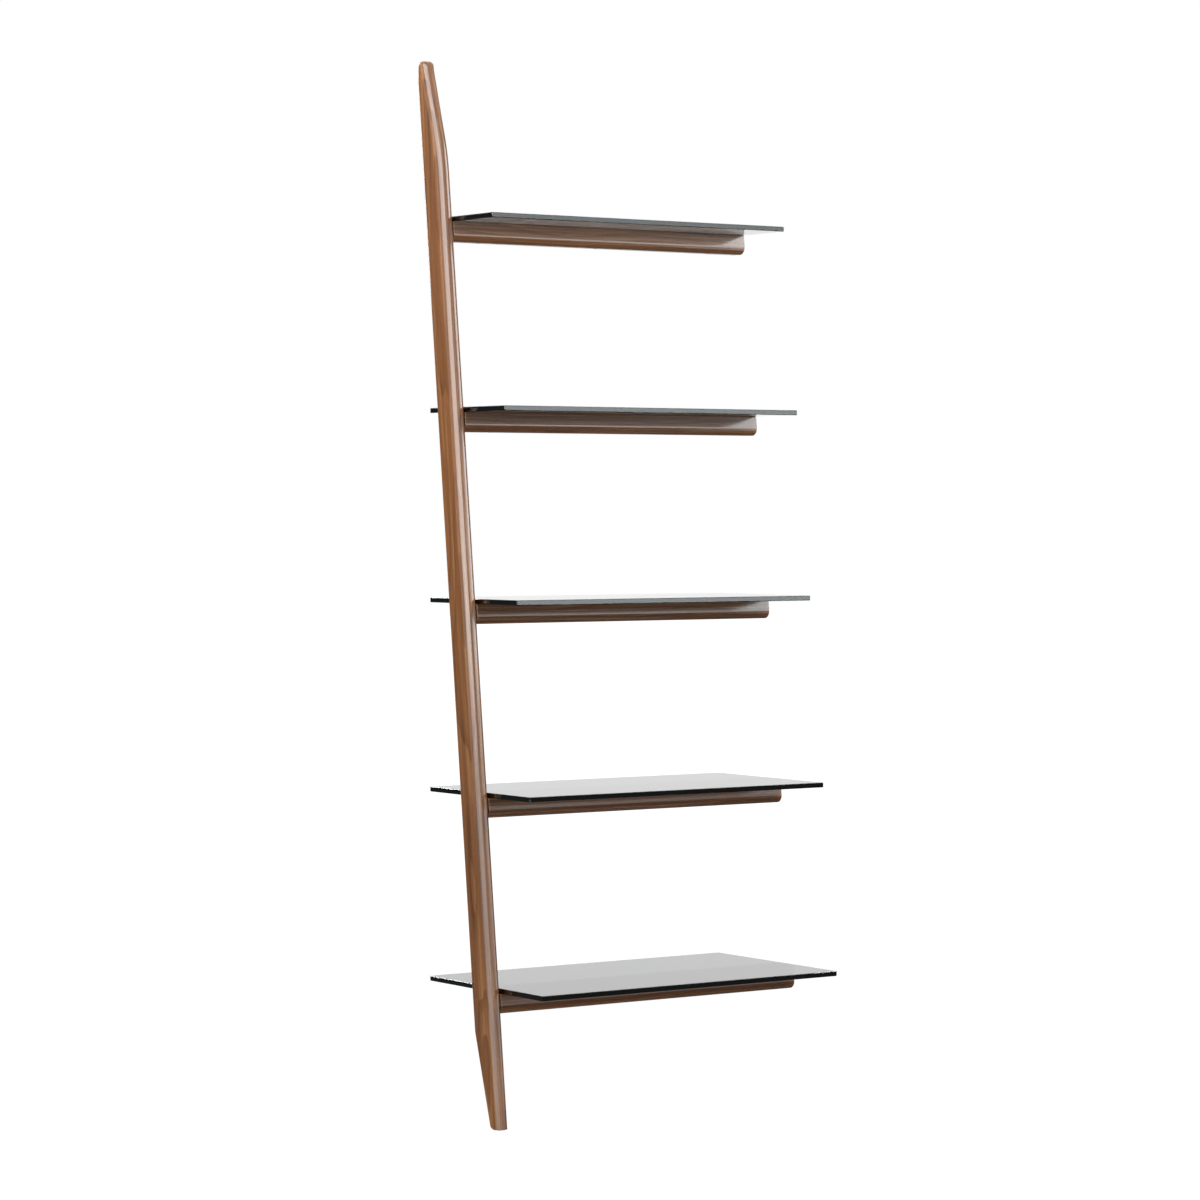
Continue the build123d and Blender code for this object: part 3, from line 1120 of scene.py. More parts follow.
@dataclass(frozen=True)
class DiscFixing:
    """Discs bonded under a glass shelf, let into the beam, with socket screws from below."""

    bay: Bay
    coat: Finish
    steel: Finish
    count: int = 3
    end_distance: float = 75.0
    disc_diameter: float = 25.0
    disc_thickness: float = 4.0
    disc_edge: float = 0.4
    disc_columns: int = 64
    clearance: float = 0.3
    screw_diameter: float = 6.0
    screw_pitch: float = 1.0
    screw_columns: int = 24
    hole_clearance: float = 0.2
    head_diameter: float = 10.0
    head_height: float = 6.0
    head_edge: float = 0.6
    head_sink: float = 14.0
    key: float = 5.0
    key_depth: float = 3.0
    key_lead: float = 0.3
    end_gap: float = 0.5

    @property
    def screw_hole(self) -> float:
        """Diameter of a screw's hole."""
        return self.screw_diameter + self.hole_clearance

    def places(self, row: int) -> list[Spot]:
        """Find the discs along a beam, in the middle of its top.

        Args:
            row: Shelf, counted from the lowest.

        Returns:
            X and Y of each disc.
        """
        z = self.bay.beam_top(row)
        y = (self.bay.front_y(z) + self.bay.back_y(z)) / 2
        first = self.bay.post_inner_x + self.end_distance
        last = self.bay.beam_end_x - self.end_distance
        return [(x, y) for x in np.linspace(first, last, self.count)]

    def beam_cutter(self, row: int) -> Shell:
        """Disc pockets, screw holes and counterbores of one beam.

        Args:
            row: Shelf, counted from the lowest.

        Returns:
            The cutter.
        """
        top = self.bay.beam_top(row)
        under = top - self.bay.beam_height
        disc_hole = self.disc_diameter + 2 * self.clearance
        floor = top - self.disc_thickness - self.clearance
        head_hole = self.head_diameter + 2 * self.clearance
        seat = under + self.head_sink
        cutters = []
        for place in self.places(row):
            cutters.append(drill(place, disc_hole, floor, top + CUT_MARGIN, Axis.Z))
            cutters.append(drill(place, head_hole, under - CUT_MARGIN, seat, Axis.Z))
            cutters.append(drill(place, self.screw_hole, seat - CUT_MARGIN, floor + CUT_MARGIN, Axis.Z))
        return joined(cutters)

    def discs(self, row: int) -> Shell:
        """Rings with broken edges, just clear of the glass.

        Args:
            row: Shelf, counted from the lowest.

        Returns:
            The discs of one shelf.
        """
        columns = self.disc_columns
        top = self.bay.beam_top(row) - self.bay.glass_rest_gap
        bottom = self.bay.beam_top(row) - self.disc_thickness
        outer = self.disc_diameter / 2
        hole = self.screw_hole / 2
        edge = self.disc_edge
        rows = [
            (bottom, hole), (bottom, outer - edge), (bottom + edge, outer),
            (top - edge, outer), (top, outer - edge), (top, hole),
        ]
        grids = [turned_grid(place, rows, columns, Axis.Z) for place in self.places(row)]
        return joined([grid_shell(grid, ring=True) for grid in grids])

    def screws(self, row: int) -> Shell:
        """Socket head screws: a hexagon socket, a head with a turned edge and a threaded shank.

        Args:
            row: Shelf, counted from the lowest.

        Returns:
            The screws of one shelf.
        """
        columns = self.screw_columns
        seat = self.bay.beam_top(row) - self.bay.beam_height + self.head_sink
        face = seat - self.head_height
        end = self.bay.beam_top(row) - self.end_gap
        socket = hexagon(self.key, columns)
        head = self.head_diameter / 2
        nose = self.screw_diameter / 2 - self.head_edge
        thread = thread_rows(seat, end - self.head_edge, self.screw_diameter, self.screw_pitch, columns)
        rows = [
            (face + self.key_depth, 0.0), (face + self.key_depth, socket), (face + self.key_lead, socket),
            (face, socket + self.key_lead), (face, head - self.head_edge), (face + self.head_edge, head),
            (seat, head), (seat, self.screw_diameter / 2), *thread, (end, nose), (end, 0.0),
        ]
        return joined([grid_shell(turned_grid(place, rows, columns, Axis.Z)) for place in self.places(row)])

    def build(self, row: int) -> None:
        """Build and dress the discs and screws of one shelf.

        Args:
            row: Shelf, counted from the lowest.
        """
        number = row + 1
        dress(self.discs(row).to_object(f"bonded_discs_{number}"), self.coat, f"glass_discs_{number}")
        dress(self.screws(row).to_object(f"socket_screws_{number}"), self.steel, f"disc_screws_{number}")


@dataclass(frozen=True)
class WallAngle:
    """Bent angle on the post's inner face that ties it to the wall, with its pan head screws."""

    bay: Bay
    coat: Finish
    steel: Finish
    height: float = 40.0
    middle_below_tip: float = 150.0
    thickness: float = 3.0
    wall_leg: float = 32.0
    post_leg: float = 42.0
    bend_radius: float = 2.0
    corner_radius: float = 4.0
    edge: float = 0.3
    hole_pitch: float = 24.0
    wall_hole: float = 5.5
    wall_hole_from_end: float = 12.0
    post_hole_from_end: float = 12.0
    screw_diameter: float = 4.0
    screw_pitch: float = 1.4
    screw_length: float = 20.0
    screw_tip_length: float = 4.0
    screw_tip_diameter: float = 2.0
    screw_head_diameter: float = 8.0
    screw_head_height: float = 2.6
    screw_head_radius: float = 1.5
    recess_reach: float = 2.1
    recess_width: float = 1.0
    recess_depth: float = 1.5
    recess_edge: float = 0.12
    recess_run_out: float = 0.5
    recess_cone: float = 0.5
    recess_rows: int = 22
    screw_columns: int = 96
    hole_clearance: float = 0.2
    blind_gap: float = 1.0

    @property
    def screw_hole(self) -> float:
        """Diameter of a screw's hole."""
        return self.screw_diameter + self.hole_clearance

    @property
    def middle_z(self) -> float:
        """Height of the angle's middle."""
        return self.bay.height - self.middle_below_tip

    @property
    def hole_heights(self) -> list[float]:
        """Heights of the holes in both legs."""
        return [self.middle_z - self.hole_pitch / 2, self.middle_z + self.hole_pitch / 2]

    @property
    def screw_places(self) -> list[Spot]:
        """Y and Z of the screws into the post."""
        y = self.bay.wall_y - self.post_leg + self.post_hole_from_end
        return [(y, z) for z in self.hole_heights]

    def post_cutter(self) -> Shell:
        """Pilot holes in the post's inner face.

        Returns:
            The cutter.
        """
        face = self.bay.post_inner_x
        bottom, mouth = face - self.screw_length - self.blind_gap, face + CUT_MARGIN
        places = self.screw_places
        return joined([drill(place, self.screw_hole, bottom, mouth, Axis.X) for place in places])

    def plate(self) -> Shell:
        """Bent plate as a strip of two parameters.

        The strip runs from the wall leg's end round the bend to the post leg's end. At each place along it
        the section is a rectangle of the plate's thickness with broken edges, and near an end its half height
        falls by the corner's radius less the height of a circle of that radius, which rounds the corners.

        Returns:
            The plate without its holes.
        """
        inner = self.bay.post_inner_x + self.thickness, self.bay.wall_y - self.thickness
        leg_end = self.bay.post_inner_x + self.wall_leg, inner[1]
        post_end = inner[0], self.bay.wall_y - self.post_leg
        corners = np.array([leg_end, inner, post_end])
        bend, normal = rounded_path(corners, np.array([0.0, self.bend_radius, 0.0]), closed=False)
        fade = self.corner_radius * (1 - np.cos(np.linspace(0.0, pi / 2, ARC_STEPS + 1)))
        run_in = np.array(leg_end) - fade[:, None] * np.array([1.0, 0.0])
        run_out = np.array(post_end) + fade[::-1, None] * np.array([0.0, 1.0])
        arc = slice(ARC_STEPS + 1, 2 * (ARC_STEPS + 1))
        path = np.vstack([run_in, bend[arc], run_out])
        normal_in, normal_out = [np.tile(normal[end], (len(fade), 1)) for end in (0, -1)]
        outward = np.vstack([normal_in, normal[arc], normal_out])
        drop = self.corner_radius * (1 - np.sqrt(np.maximum(0.0, 1 - (1 - fade / self.corner_radius) ** 2)))
        half = self.height / 2 - np.concatenate([drop, np.zeros(ARC_STEPS + 1), drop[::-1]])
        near, far = self.edge, self.thickness - self.edge
        depth = np.array([near, far, self.thickness, self.thickness, far, near, 0.0, 0.0])
        draw = self.edge * np.array([0.0, 0.0, 1.0, 1.0, 0.0, 0.0, 1.0, 1.0])
        side = np.array([1.0, 1.0, 1.0, -1.0, -1.0, -1.0, -1.0, 1.0])
        across = path[:, None] + depth[:, None] * outward[:, None]
        level = self.middle_z + side * (half[:, None] - draw)
        return grid_shell(np.concatenate([across, level[..., None]], axis=-1), caps=Caps.BOTH)

    def plate_cutter(self) -> Shell:
        """Holes through both legs.

        Returns:
            The cutter.
        """
        wall_x = self.bay.post_inner_x + self.wall_leg - self.wall_hole_from_end
        wall_face = self.bay.wall_y
        post_face = self.bay.post_inner_x
        cutters = []
        for z, place in zip(self.hole_heights, self.screw_places):
            start = wall_face - self.thickness - CUT_MARGIN
            cutters.append(drill((wall_x, z), self.wall_hole, start, wall_face + CUT_MARGIN, Axis.Y))
            end = post_face + self.thickness + CUT_MARGIN
            cutters.append(drill(place, self.screw_hole, post_face - CUT_MARGIN, end, Axis.X))
        return joined(cutters)

    def screw(self, place: Spot) -> Shell:
        """Pan head screw with a cross recess.

        Over the head's face the depth of the recess falls from the middle towards its reach, inside two arms
        that are recess_width across. The arm's half width is compared with the radius times the smaller of
        |sine| and |cosine| of the angle, which is the distance from the nearer arm's middle.

        Args:
            place: Y and Z of its axis.

        Returns:
            The screw.
        """
        columns = self.screw_columns
        angle = turn_angles(columns)
        seat = self.bay.post_inner_x + self.thickness
        top = seat + self.screw_head_height
        rim = self.screw_head_diameter / 2
        face_radius = np.linspace(0.0, rim - self.screw_head_radius, self.recess_rows)
        from_arm = face_radius[:, None] * np.minimum(np.abs(np.sin(angle)), np.abs(np.cos(angle)))
        arm = np.clip((self.recess_width / 2 - from_arm) / self.recess_edge + 0.5, 0.0, 1.0)
        reach = np.clip((self.recess_reach - face_radius) / self.recess_run_out, 0.0, 1.0)[:, None]
        cone = (1 - self.recess_cone * face_radius / self.recess_reach)[:, None]
        face = list(zip(top - self.recess_depth * arm * reach * cone, face_radius))
        turn = np.linspace(0.0, pi / 2, ARC_STEPS + 1)[1:]
        shoulder = list(zip(
            top - self.screw_head_radius * (1 - np.cos(turn)),
            rim - self.screw_head_radius * (1 - np.sin(turn))))
        post_face = self.bay.post_inner_x
        end = post_face - self.screw_length
        shank = self.screw_diameter / 2
        thread = thread_rows(
            post_face, end + self.screw_tip_length, self.screw_diameter, self.screw_pitch, columns)
        tip = [(end, self.screw_tip_diameter / 2), (end, 0.0)]
        rows = [*face, *shoulder, (seat, rim), (seat, shank), *thread, *tip]
        return grid_shell(turned_grid(place, rows, columns, Axis.X))

    def build(self) -> None:
        """Build and dress the angle and its screws."""
        angle = self.plate().to_object("bent_angle")
        carve(angle, self.plate_cutter())
        dress(angle, self.coat, "wall_bracket")
        screws = joined([self.screw(place) for place in self.screw_places])
        dress(screws.to_object("pan_screws"), self.steel, "bracket_screws")


@dataclass(frozen=True)
class FootPad:
    """Grip pad let into the toe of the post."""

    bay: Bay
    rubber: Finish
    length: float = 18.0
    width: float = 7.0
    recess: float = 2.0
    edge: float = 0.3
    toe_flat_depth: float = 6.5
    clearance: float = 0.2
    end_flat: float = 1e-6

    def slot_outline(self, spare: float) -> tuple[Array, Array]:
        """Outline of a slot with round ends, each of two quarter circles with hardly any flat between them.

        Args:
            spare: How much longer and wider than the pad it is.

        Returns:
            Points in X and Y, and their outward normals.
        """
        middle_x = self.bay.post_outer_x + self.bay.post_width / 2
        middle_y = self.bay.front_y(self.bay.pad_proud) + self.toe_flat_depth
        half = np.array([self.length + spare, self.width + spare]) / 2
        corners = np.array([middle_x, middle_y]) + half * BOX_CORNERS
        return rounded_path(corners, np.full(4, half[1] - self.end_flat), closed=True)

    def post_cutter(self) -> Shell:
        """Recess in the toe.

        Returns:
            The cutter.
        """
        outline, normals = self.slot_outline(self.clearance)
        levels = np.array([self.bay.pad_proud - CUT_MARGIN, self.bay.pad_proud + self.recess])
        return grid_shell(rim_grid(outline, normals, np.zeros(2), levels, Axis.Z), caps=Caps.BOTH)

    def build(self) -> None:
        """Build and dress the pad."""
        outline, normals = self.slot_outline(0.0)
        top = self.bay.pad_proud + self.recess
        levels = np.array([0.0, self.edge, top - self.edge, top])
        inset = np.array([self.edge, 0.0, 0.0, self.edge])
        pad = grid_shell(rim_grid(outline, normals, inset, levels, Axis.Z), caps=Caps.BOTH)
        dress(pad.to_object("grip_pad"), self.rubber, "foot_pad")


@dataclass(frozen=True)
class Post:
    """Leaning walnut post with a round front, a wall flat, a tapered tip and a tapered, rounded heel."""

    bay: Bay
    rail: RailJoint
    angle: WallAngle
    pad: FootPad
    pith: Point = (0.61, 0.13, 0.0)
    front_radius: float = 14.75
    edge_radius: float = 9.0
    bend_radius: float = 60.0
    taper_radius: float = 400.0
    tip_taper_height: float = 189.0
    tip_depth: float = 22.5
    tip_front_radius: float = 11.0
    tip_back_radius: float = 12.0
    tip_crest: float = 13.1
    tip_blend: float = 30.0
    heel_taper_height: float = 184.0
    heel_depth: float = 27.5
    spare_below: float = 30.0
    foot_stretch: float = 90.0
    station_digits: int = 7

    def finish(self) -> WalnutFinish:
        """Walnut of the post, sawn beside a pith line that runs along it."""
        return WalnutFinish("walnut_post", Slot.WALNUT, Grain.ALONG_POST, self.pith)

    def heel_line(self, z: float) -> float:
        """Follow the heel's tapered back, a straight line that goes on below the floor.

        Args:
            z: Height to read it at.

        Returns:
            Y at that height.
        """
        bend_y = self.bay.back_y(self.heel_taper_height)
        corner_y = self.bay.front_y(self.bay.pad_proud) + self.heel_depth
        share = (z - self.bay.pad_proud) / (self.heel_taper_height - self.bay.pad_proud)
        return corner_y + (bend_y - corner_y) * share

    def outline(self) -> tuple[Array, Array, Array]:
        """Side outline from the heel up the back, over the tip and down the front to the toe.

        Returns:
            Points in Y and Z, their outward normals, and the place of the tip's highest point.
        """
        bay = self.bay
        low = bay.pad_proud - self.spare_below
        bend_z = bay.height - self.tip_taper_height
        crest = (bay.wall_y - self.tip_crest, bay.height)
        corners = np.array([
            (self.heel_line(low), low),
            (bay.back_y(self.heel_taper_height), self.heel_taper_height),
            (bay.wall_y, bay.height - bay.wall_flat_height),
            (bay.wall_y, bay.height),
            crest,
            (bay.wall_y - self.tip_depth, bay.height),
            (bay.front_y(bend_z), bend_z),
            (bay.front_y(low), low),
        ])
        bend = self.bend_radius
        tip = [self.tip_back_radius, 0.0, self.tip_front_radius]
        radii = np.array([0.0, bend, bend, *tip, self.taper_radius, 0.0])
        points, normals = rounded_path(corners, radii, closed=False)
        return points, normals, np.array(crest)

    def body(self) -> Shell:
        """Post as a surface between its back and its front line.

        Both lines run from below the floor to the tip's highest point, and points at the same share of their
        lengths face each other. Round the section the surface follows four quarter circles: a point is its
        line's point less an inset along the line's normal, at an X that falls to the side as the inset grows.
        The front's radius eases to the back's over the last stretch before the tip, where both lines meet.
        More stations stand close together at the foot, where the floor cuts the post.

        Returns:
            The post before it is cut to the floor.
        """
        points, normals, crest = self.outline()
        middle = int(np.argmin(np.linalg.norm(points - crest, axis=1)))
        back = np.hstack([points, normals])[: middle + 1]
        front = np.hstack([points, normals])[middle:][::-1]
        shares = [self.length_shares(line) for line in (back, front)]
        blend = 1 - self.tip_blend / self.bay.height * np.linspace(1.0, 0.0, ARC_STEPS + 1)
        foot = np.linspace(0.0, self.foot_stretch / self.bay.height, 2 * ARC_STEPS)
        stations = np.unique(np.round(np.concatenate([*shares, blend, foot]), self.station_digits))
        back, front = [self.at_shares(line, share, stations) for line, share in zip((back, front), shares)]
        eased = np.clip((stations - blend[0]) / (1 - blend[0]), 0.0, 1.0) ** 2
        front_radius = self.front_radius + (self.edge_radius - self.front_radius) * eased
        turn = np.linspace(0.0, pi / 2, ARC_STEPS + 1)
        turn = np.concatenate([turn[::-1], turn, turn[::-1], turn])
        on_right = np.repeat([0.0, 1.0, 1.0, 0.0], ARC_STEPS + 1)
        on_back = np.repeat([0.0, 0.0, 1.0, 1.0], ARC_STEPS + 1)
        radius = front_radius[:, None] * (1 - on_back) + self.edge_radius * on_back
        inset = (radius * (1 - np.cos(turn)))[..., None]
        from_side = radius * (1 - np.sin(turn))
        x = self.bay.post_outer_x + from_side + on_right * (self.bay.post_width - 2 * from_side)
        front_line = front[:, None, :2] - inset * front[:, None, 2:]
        back_line = back[:, None, :2] - inset * back[:, None, 2:]
        side = np.where(on_back[:, None] > 0, back_line, front_line)
        return grid_shell(np.concatenate([x[..., None], side], axis=-1), caps=Caps.FIRST)

    @staticmethod
    def length_shares(line: Array) -> Array:
        """Measure along a line: the length up to each point over the whole length.

        Args:
            line: Points, with two values each in front.

        Returns:
            Shares from 0 to 1.
        """
        steps = np.linalg.norm(np.diff(line[:, :2], axis=0), axis=1)
        length = np.concatenate([[0.0], np.cumsum(steps)])
        return length / length[-1]

    @staticmethod
    def at_shares(line: Array, shares: Array, stations: Array) -> Array:
        """Points and unit normals of a line at given shares of its length.

        Args:
            line: Points and normals, 4 values each.
            shares: Share of the length at each of them.
            stations: Shares to read it at.

        Returns:
            Stations by 4 values.
        """
        read = np.stack([np.interp(stations, shares, column) for column in line.T], axis=-1)
        read[:, 2:] /= np.linalg.norm(read[:, 2:], axis=1, keepdims=True)
        return read

    def floor_cutter(self) -> Shell:
        """Everything under the toe's flat and behind the heel's arc.

        The arc touches the toe's flat and the heel's taper, both at the same distance from the corner in
        which they would meet. Its radius is that distance times the tangent of half the angle in the corner.

        Returns:
            The cutter.
        """
        toe_z = self.bay.pad_proud
        toe_y = self.bay.front_y(toe_z)
        tangent = self.heel_depth - self.pad.toe_flat_depth
        slope = np.arctan2(self.heel_line(toe_z + 1.0) - self.heel_line(toe_z), 1.0)
        heel = np.array([self.heel_line(toe_z), toe_z]) + tangent * np.array([np.sin(slope), np.cos(slope)])
        toe_back = np.array([toe_y + self.pad.toe_flat_depth, toe_z])
        radius = tangent * np.tan(pi / 4 + slope / 2)
        angle = np.linspace(-slope, -pi / 2, 2 * ARC_STEPS + 1)
        arc = toe_back + radius * np.stack([np.cos(angle), 1 + np.sin(angle)], axis=-1)
        reach = self.bay.post_depth
        low = toe_z - 2 * self.spare_below
        ahead, behind = toe_y - reach, heel[0] + reach
        around = np.array([(ahead, toe_z), (ahead, low), (behind, low), (behind, heel[1])])
        outline = np.vstack([arc, around])
        ends = np.array([self.bay.post_outer_x - CUT_MARGIN, self.bay.post_inner_x + CUT_MARGIN])
        grid = rim_grid(outline, np.zeros_like(outline), np.zeros(2), ends, Axis.X)
        return grid_shell(grid, caps=Caps.BOTH)

    def build(self) -> None:
        """Build the post, cut it to the floor, drill it and dress it."""
        post = self.body().to_object("walnut_post")
        carve(post, self.floor_cutter())
        holes = [self.rail.post_cutter(row) for row in self.bay.rows]
        carve(post, joined([*holes, self.angle.post_cutter(), self.pad.post_cutter()]))
        dress(post, self.finish(), "post")


@dataclass(frozen=True)
class ShelfBeam:
    """Walnut beam that stands out from the post: a leaning section with a well rounded underside."""

    bay: Bay
    rail: RailJoint
    discs: DiscFixing
    reveal: float = 6.0
    under_radius: float = 15.0
    top_radius: float = 2.0
    end_radius: float = 1.0
    pith_offset: tuple[Spot, ...] = (
        (55.0, 90.0), (-70.0, 75.0), (40.0, 120.0), (-95.0, 60.0), (80.0, 70.0),
    )

    def finish(self, row: int) -> WalnutFinish:
        """Walnut of one beam, sawn beside a pith line of its own.

        Args:
            row: Shelf, counted from the lowest.

        Returns:
            The finish.
        """
        y, z = self.bay.beam_axis(row)
        across, down = self.pith_offset[row]
        pith = ((z - down) * MM, -(y + across) * MM, 0.0)
        return WalnutFinish(f"walnut_beam_{row + 1}", Slot.WALNUT, Grain.ALONG_BEAM, pith)

    def body(self, row: int) -> Shell:
        """Section carried along X; at both ends a quarter circle draws it in.

        Args:
            row: Shelf, counted from the lowest.

        Returns:
            The beam before it is bored.
        """
        top = self.bay.beam_top(row)
        under = top - self.bay.beam_height
        lid = top - self.bay.glass_rest_gap
        corners = np.array([
            (self.bay.front_y(under) + self.reveal, under),
            (self.bay.back_y(under) - self.reveal, under),
            (self.bay.back_y(lid) - self.reveal, lid),
            (self.bay.front_y(lid) + self.reveal, lid),
        ])
        radii = np.array([self.under_radius, self.under_radius, self.top_radius, self.top_radius])
        outline, normals = rounded_path(corners, radii, closed=True)
        turn = np.linspace(0.0, pi / 2, ARC_STEPS // 2 + 1)
        inset = self.end_radius * (1 - np.sin(turn))
        rise = self.end_radius * (1 - np.cos(turn))
        along = np.concatenate([self.bay.post_inner_x + rise, self.bay.beam_end_x - rise[::-1]])
        inset = np.concatenate([inset, inset[::-1]])
        return grid_shell(rim_grid(outline, normals, inset, along, Axis.X), caps=Caps.BOTH)

    def build(self, row: int) -> None:
        """Build a beam, bore it and dress it.

        Args:
            row: Shelf, counted from the lowest.
        """
        number = row + 1
        beam = self.body(row).to_object(f"walnut_beam_{number}")
        ends = [(self.bay.post_inner_x, 1), (self.bay.beam_end_x, -1)]
        cutters = [self.rail.beam_cutter(row, end_x, inward) for end_x, inward in ends]
        carve(beam, joined([*cutters, self.discs.beam_cutter(row)]))
        dress(beam, self.finish(row), f"shelf_beam_{number}")


@dataclass(frozen=True)
class GlassShelf:
    """Tinted glass plate with eased corners and polished arrises."""

    bay: Bay
    glass: Finish
    corner_radius: float = 2.0
    arris: float = 1.0

    def body(self, row: int) -> Shell:
        """Rounded rectangle carried up Z, drawn in by a flat arris at both faces.

        Args:
            row: Shelf, counted from the lowest.

        Returns:
            The plate.
        """
        bay = self.bay
        left = bay.post_inner_x + bay.glass_end_gap
        right = bay.beam_end_x - bay.glass_end_gap
        front = bay.wall_y - bay.glass_depth(row)
        corners = np.array([(left, front), (right, front), (right, bay.wall_y), (left, bay.wall_y)])
        outline, normals = rounded_path(corners, np.full(4, self.corner_radius), closed=True)
        bottom, top = bay.beam_top(row), bay.glass_top(row)
        levels = np.array([bottom, bottom + self.arris, top - self.arris, top])
        inset = np.array([self.arris, 0.0, 0.0, self.arris])
        return grid_shell(rim_grid(outline, normals, inset, levels, Axis.Z), caps=Caps.BOTH)

    def build(self, row: int) -> None:
        """Build and dress one shelf."""
        number = row + 1
        dress(self.body(row).to_object(f"tinted_shelf_{number}"), self.glass, f"glass_shelf_{number}")


# Studio


def flat_panel(name: str, corners: Array, material: bpy.types.Material) -> bpy.types.Object:
    """Make a panel of one face.

    Args:
        name: Name of the object and its mesh.
        corners: Its four corners in metres.
        material: Material that it takes.

    Returns:
        The panel, linked to the scene.
    """
    mesh = bpy.data.meshes.new(name)
    mesh.from_pydata(corners.tolist(), [], [(0, 1, 2, 3)])
    mesh.materials.append(material)
    panel = bpy.data.objects.new(name, mesh)
    bpy.context.scene.collection.objects.link(panel)
    return panel


@dataclass(frozen=True)
class Softbox:
    """A soft lamp that faces a point and that no glossy face mirrors: place, size in metres and radiance."""

    name: str
    place: Point
    target: Point
    width: float
    height: float
    radiance: float

    def build(self) -> None:
        """Hang the lamp; Blender's area lamp gives a radiance of watts over four times its area."""
        lamp = bpy.data.lights.new(self.name, "AREA")
        lamp.shape = "RECTANGLE"
        lamp.size = self.width
        lamp.size_y = self.height
        lamp.energy = 4 * self.width * self.height * self.radiance
        box = bpy.data.objects.new(self.name, lamp)
        box.location = self.place
        aim = Vector(self.target) - Vector(self.place)
        box.rotation_euler = aim.to_track_quat("-Z", "Y").to_euler()
        box.visible_camera = False
        box.visible_glossy = False
        bpy.context.scene.collection.objects.link(box)
        log.info("%s at %s", self.name, self.place)


@dataclass(frozen=True)
class MirrorCard:
    """A card around the post that only glossy faces mirror.

    The bearing is in degrees from straight ahead, to the right; reach, width and both heights are in metres.
    """

    name: str
    bearing: float
    reach: float
    width: float
    low: float
    high: float
    level: float
    centre: Spot = (-0.36, 0.03)
    white: Shade = (0.95, 1.02, 1.05, 1.0)

    def build(self) -> None:
        """Stand the card upright, square to its bearing."""
        angle = radians(self.bearing)
        out = np.array([sin(angle), -cos(angle)])
        side = np.array([cos(angle), sin(angle)]) * self.width / 2
        middle = np.array(self.centre) + self.reach * out
        ends = np.array([middle - side, middle + side, middle + side, middle - side])
        corners = np.column_stack([ends, [self.low, self.low, self.high, self.high]])
        material = bpy.data.materials.new(self.name)
        sheet = NodeSheet(material)
        glow = sheet.glow(self.white, self.level)
        sheet.add("ShaderNodeOutputMaterial", feeds={"Surface": glow})
        card = flat_panel(self.name, corners, material)
        card.visible_camera = False
        card.visible_diffuse = False
        card.visible_transmission = False
        card.visible_shadow = False
        log.info("%s at bearing %s", self.name, self.bearing)


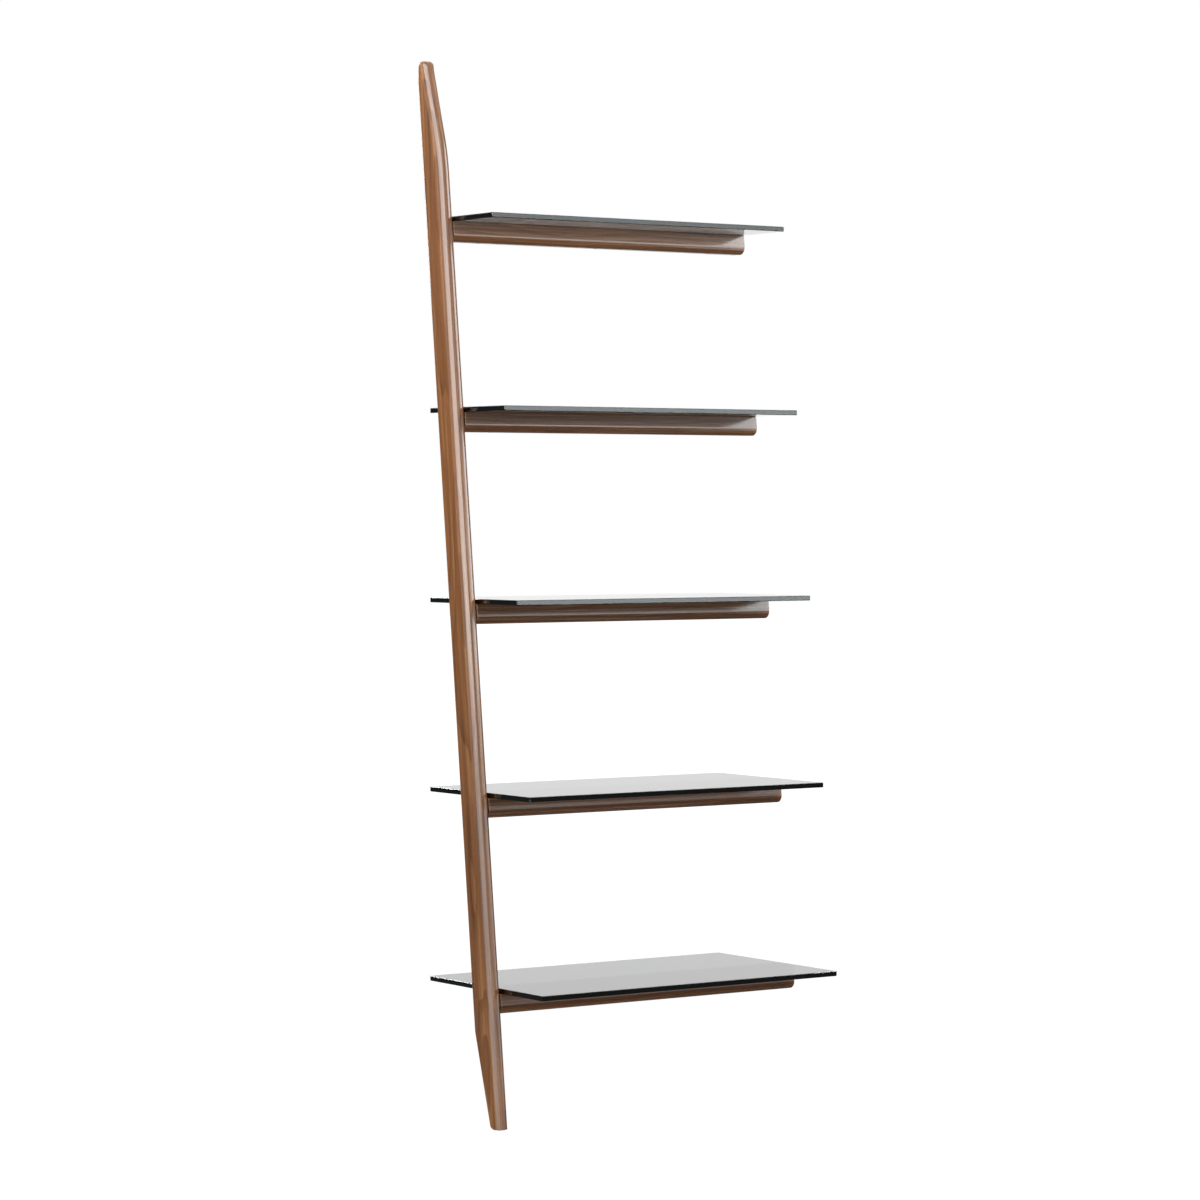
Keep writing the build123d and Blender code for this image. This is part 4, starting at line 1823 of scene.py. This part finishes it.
@dataclass(frozen=True)
class Studio:
    """White studio: floor, world, soft lamps and cards to mirror.

    The floor runs out into white between fade_start and fade_end, in metres from its middle. Between
    mirror_start and mirror_end its mirror image turns from dim to white.
    """

    fill: float = 0.1
    floor_reach: float = 30.0
    floor_pale: RGB = (180, 180, 180)
    floor_glow: float = 0.86
    floor_white: float = 1.12
    floor_mirrored: float = 0.12
    fade_start: float = 1.6
    fade_end: float = 4.5
    mirror_start: float = 12.0
    mirror_end: float = 20.0
    # Name, place, target, width, height, radiance.
    lamps: tuple[Softbox, ...] = (
        Softbox("side_box", (-3.0, 1.25, 2.7), (-0.36, 0.03, 0.9), 2.4, 2.4, 6.1),
        Softbox("front_box", (0.25, -2.8, 2.5), (-0.1, 0.03, 1.7), 2.4, 1.8, 5.5),
        Softbox("top_box", (0.0, 0.5, 3.9), (0.0, 0.0, 0.0), 2.4, 1.6, 2.9),
    )
    # Name, bearing, reach, width, low and high edge, level.
    cards: tuple[MirrorCard, ...] = (
        MirrorCard("left_shine", -53.5, 3.0, 1.78, 1.2, 4.6, 5.2),
        MirrorCard("front_shine", -20.0, 3.0, 1.83, 1.2, 4.6, 6.0),
        MirrorCard("low_shine", -36.5, 2.5, 3.31, 0.0, 1.2, 2.6),
        MirrorCard("window_shine", 41.0, 2.9, 0.92, 1.15, 1.84, 3.8),
        MirrorCard("window_head", 41.0, 2.9, 0.92, 1.92, 2.06, 2.8),
        MirrorCard("window_sill", 41.0, 2.9, 0.92, 0.9, 0.99, 3.8),
        MirrorCard("right_shine", 62.0, 3.0, 1.72, 1.2, 3.3, 6.4),
        MirrorCard("right_low_shine", 64.0, 3.0, 1.5, 0.0, 1.2, 2.2),
        MirrorCard("window_shade", 37.5, 3.05, 0.85, 1.84, 3.6, 0.05),
        MirrorCard("left_shade", 198.0, 2.7, 4.4, -0.5, 3.1, 0.1),
        MirrorCard("right_shade", 98.0, 3.0, 2.4, -0.5, 3.1, 0.1),
        MirrorCard("end_shine", 188.0, 2.6, 0.9, 1.75, 3.7, 8.0),
    )

    @staticmethod
    def rays(sheet: NodeSheet) -> tuple[Signal, Signal]:
        """Tell the rays apart.

        Args:
            sheet: Sheet of the floor or the world.

        Returns:
            1 for rays from the camera or through glass, and 1 for rays that a glossy face mirrors.
        """
        path = sheet.add("ShaderNodeLightPath")
        through = path["Is Transmission Ray"]
        return path["Is Camera Ray"].at_least(through), path["Is Glossy Ray"] * (1 - through)

    def world(self) -> None:
        """White to look at, and a dim even fill for the light on the pieces."""
        world = bpy.data.worlds.new("white_room")
        sheet = NodeSheet(world)
        direct, mirrored = self.rays(sheet)
        strength = self.fill + (1 - self.fill) * direct.at_least(mirrored)
        light = sheet.add("ShaderNodeBackground", feeds={"Color": WHITE, "Strength": strength})
        sheet.add("ShaderNodeOutputWorld", feeds={"Surface": light["Background"]})
        bpy.context.scene.world = world

    def floor(self) -> None:
        """Pale floor that keeps a soft shadow near the bay and runs out into white."""
        corners = np.column_stack([self.floor_reach * BOX_CORNERS, np.zeros(4)])
        material = bpy.data.materials.new("pale_floor")
        sheet = NodeSheet(material)
        reach = sheet.length(sheet.place())
        fade = sheet.span(reach, self.fade_start, self.fade_end)
        direct, mirrored = self.rays(sheet)
        far = sheet.span(reach, self.mirror_start, self.mirror_end) * mirrored
        share = direct.at_least(far) * (self.floor_glow + (1 - self.floor_glow) * fade)
        matt = sheet.add("ShaderNodeBsdfDiffuse", feeds={"Color": paint(self.floor_pale)})["BSDF"]
        pale = sheet.blend(share, matt, sheet.glow(WHITE, self.floor_white))
        dimmed = sheet.blend(mirrored - far, pale, sheet.glow(WHITE, self.floor_mirrored))
        sheet.add("ShaderNodeOutputMaterial", feeds={"Surface": dimmed})
        floor = flat_panel("floor", corners, material)

    def build(self) -> None:
        """Build the world, the floor, the cards and the lamps."""
        bpy.context.scene.view_settings.view_transform = "Standard"
        self.world()
        self.floor()
        for fitting in (*self.cards, *self.lamps):
            fitting.build()


@dataclass(frozen=True)
class PhotoCamera:
    """Level camera at the photograph's viewing angle.

    The place is in metres, the yaw in degrees to the right, lens and sensor in millimetres, and the shift is a
    share of the picture's width.
    """

    place: Point = (-4.53625, -6.453, 1.215)
    yaw: float = 34.694
    lens: float = 117.36
    sensor: float = 36.0
    shift_up: float = -0.0786

    def build(self) -> None:
        """Set the scene's camera."""
        data = bpy.data.cameras.new("photo_camera")
        data.sensor_fit = "HORIZONTAL"
        data.sensor_width = self.sensor
        data.lens = self.lens
        data.shift_y = self.shift_up
        camera = bpy.data.objects.new("photo_camera", data)
        camera.location = self.place
        camera.rotation_euler = (radians(90.0), 0.0, radians(-self.yaw))
        bpy.context.scene.collection.objects.link(camera)
        bpy.context.scene.camera = camera


def main() -> None:
    """Build the bay's sub-assemblies in order, then the studio and the camera."""
    logging.basicConfig(level=logging.INFO, format="%(name)s: %(message)s")
    bay = Bay()
    steel = PlatedSteelFinish("plated_steel", Slot.FASTENER_STEEL)
    rail = RailJoint(bay, steel, BeechFinish("pressed_beech", Slot.DOWEL_BEECH))
    discs = DiscFixing(bay, BlackCoatFinish("disc_coat", Slot.DISC_BLACK), steel)
    angle = WallAngle(bay, BlackCoatFinish("angle_coat", Slot.BRACKET_BLACK), steel)
    pad = FootPad(bay, GripRubberFinish("grip_rubber", Slot.GRIP_RUBBER))
    beams = ShelfBeam(bay, rail, discs)
    shelves = GlassShelf(bay, TintedGlassFinish("tinted_glass", Slot.SMOKED_GLASS))
    Post(bay, rail, angle, pad).build()
    angle.build()
    pad.build()
    for row in bay.rows:
        beams.build(row)
        shelves.build(row)
        discs.build(row)
        rail.build(row)
    Studio().build()
    PhotoCamera().build()


if __name__ == "__main__":
    main()
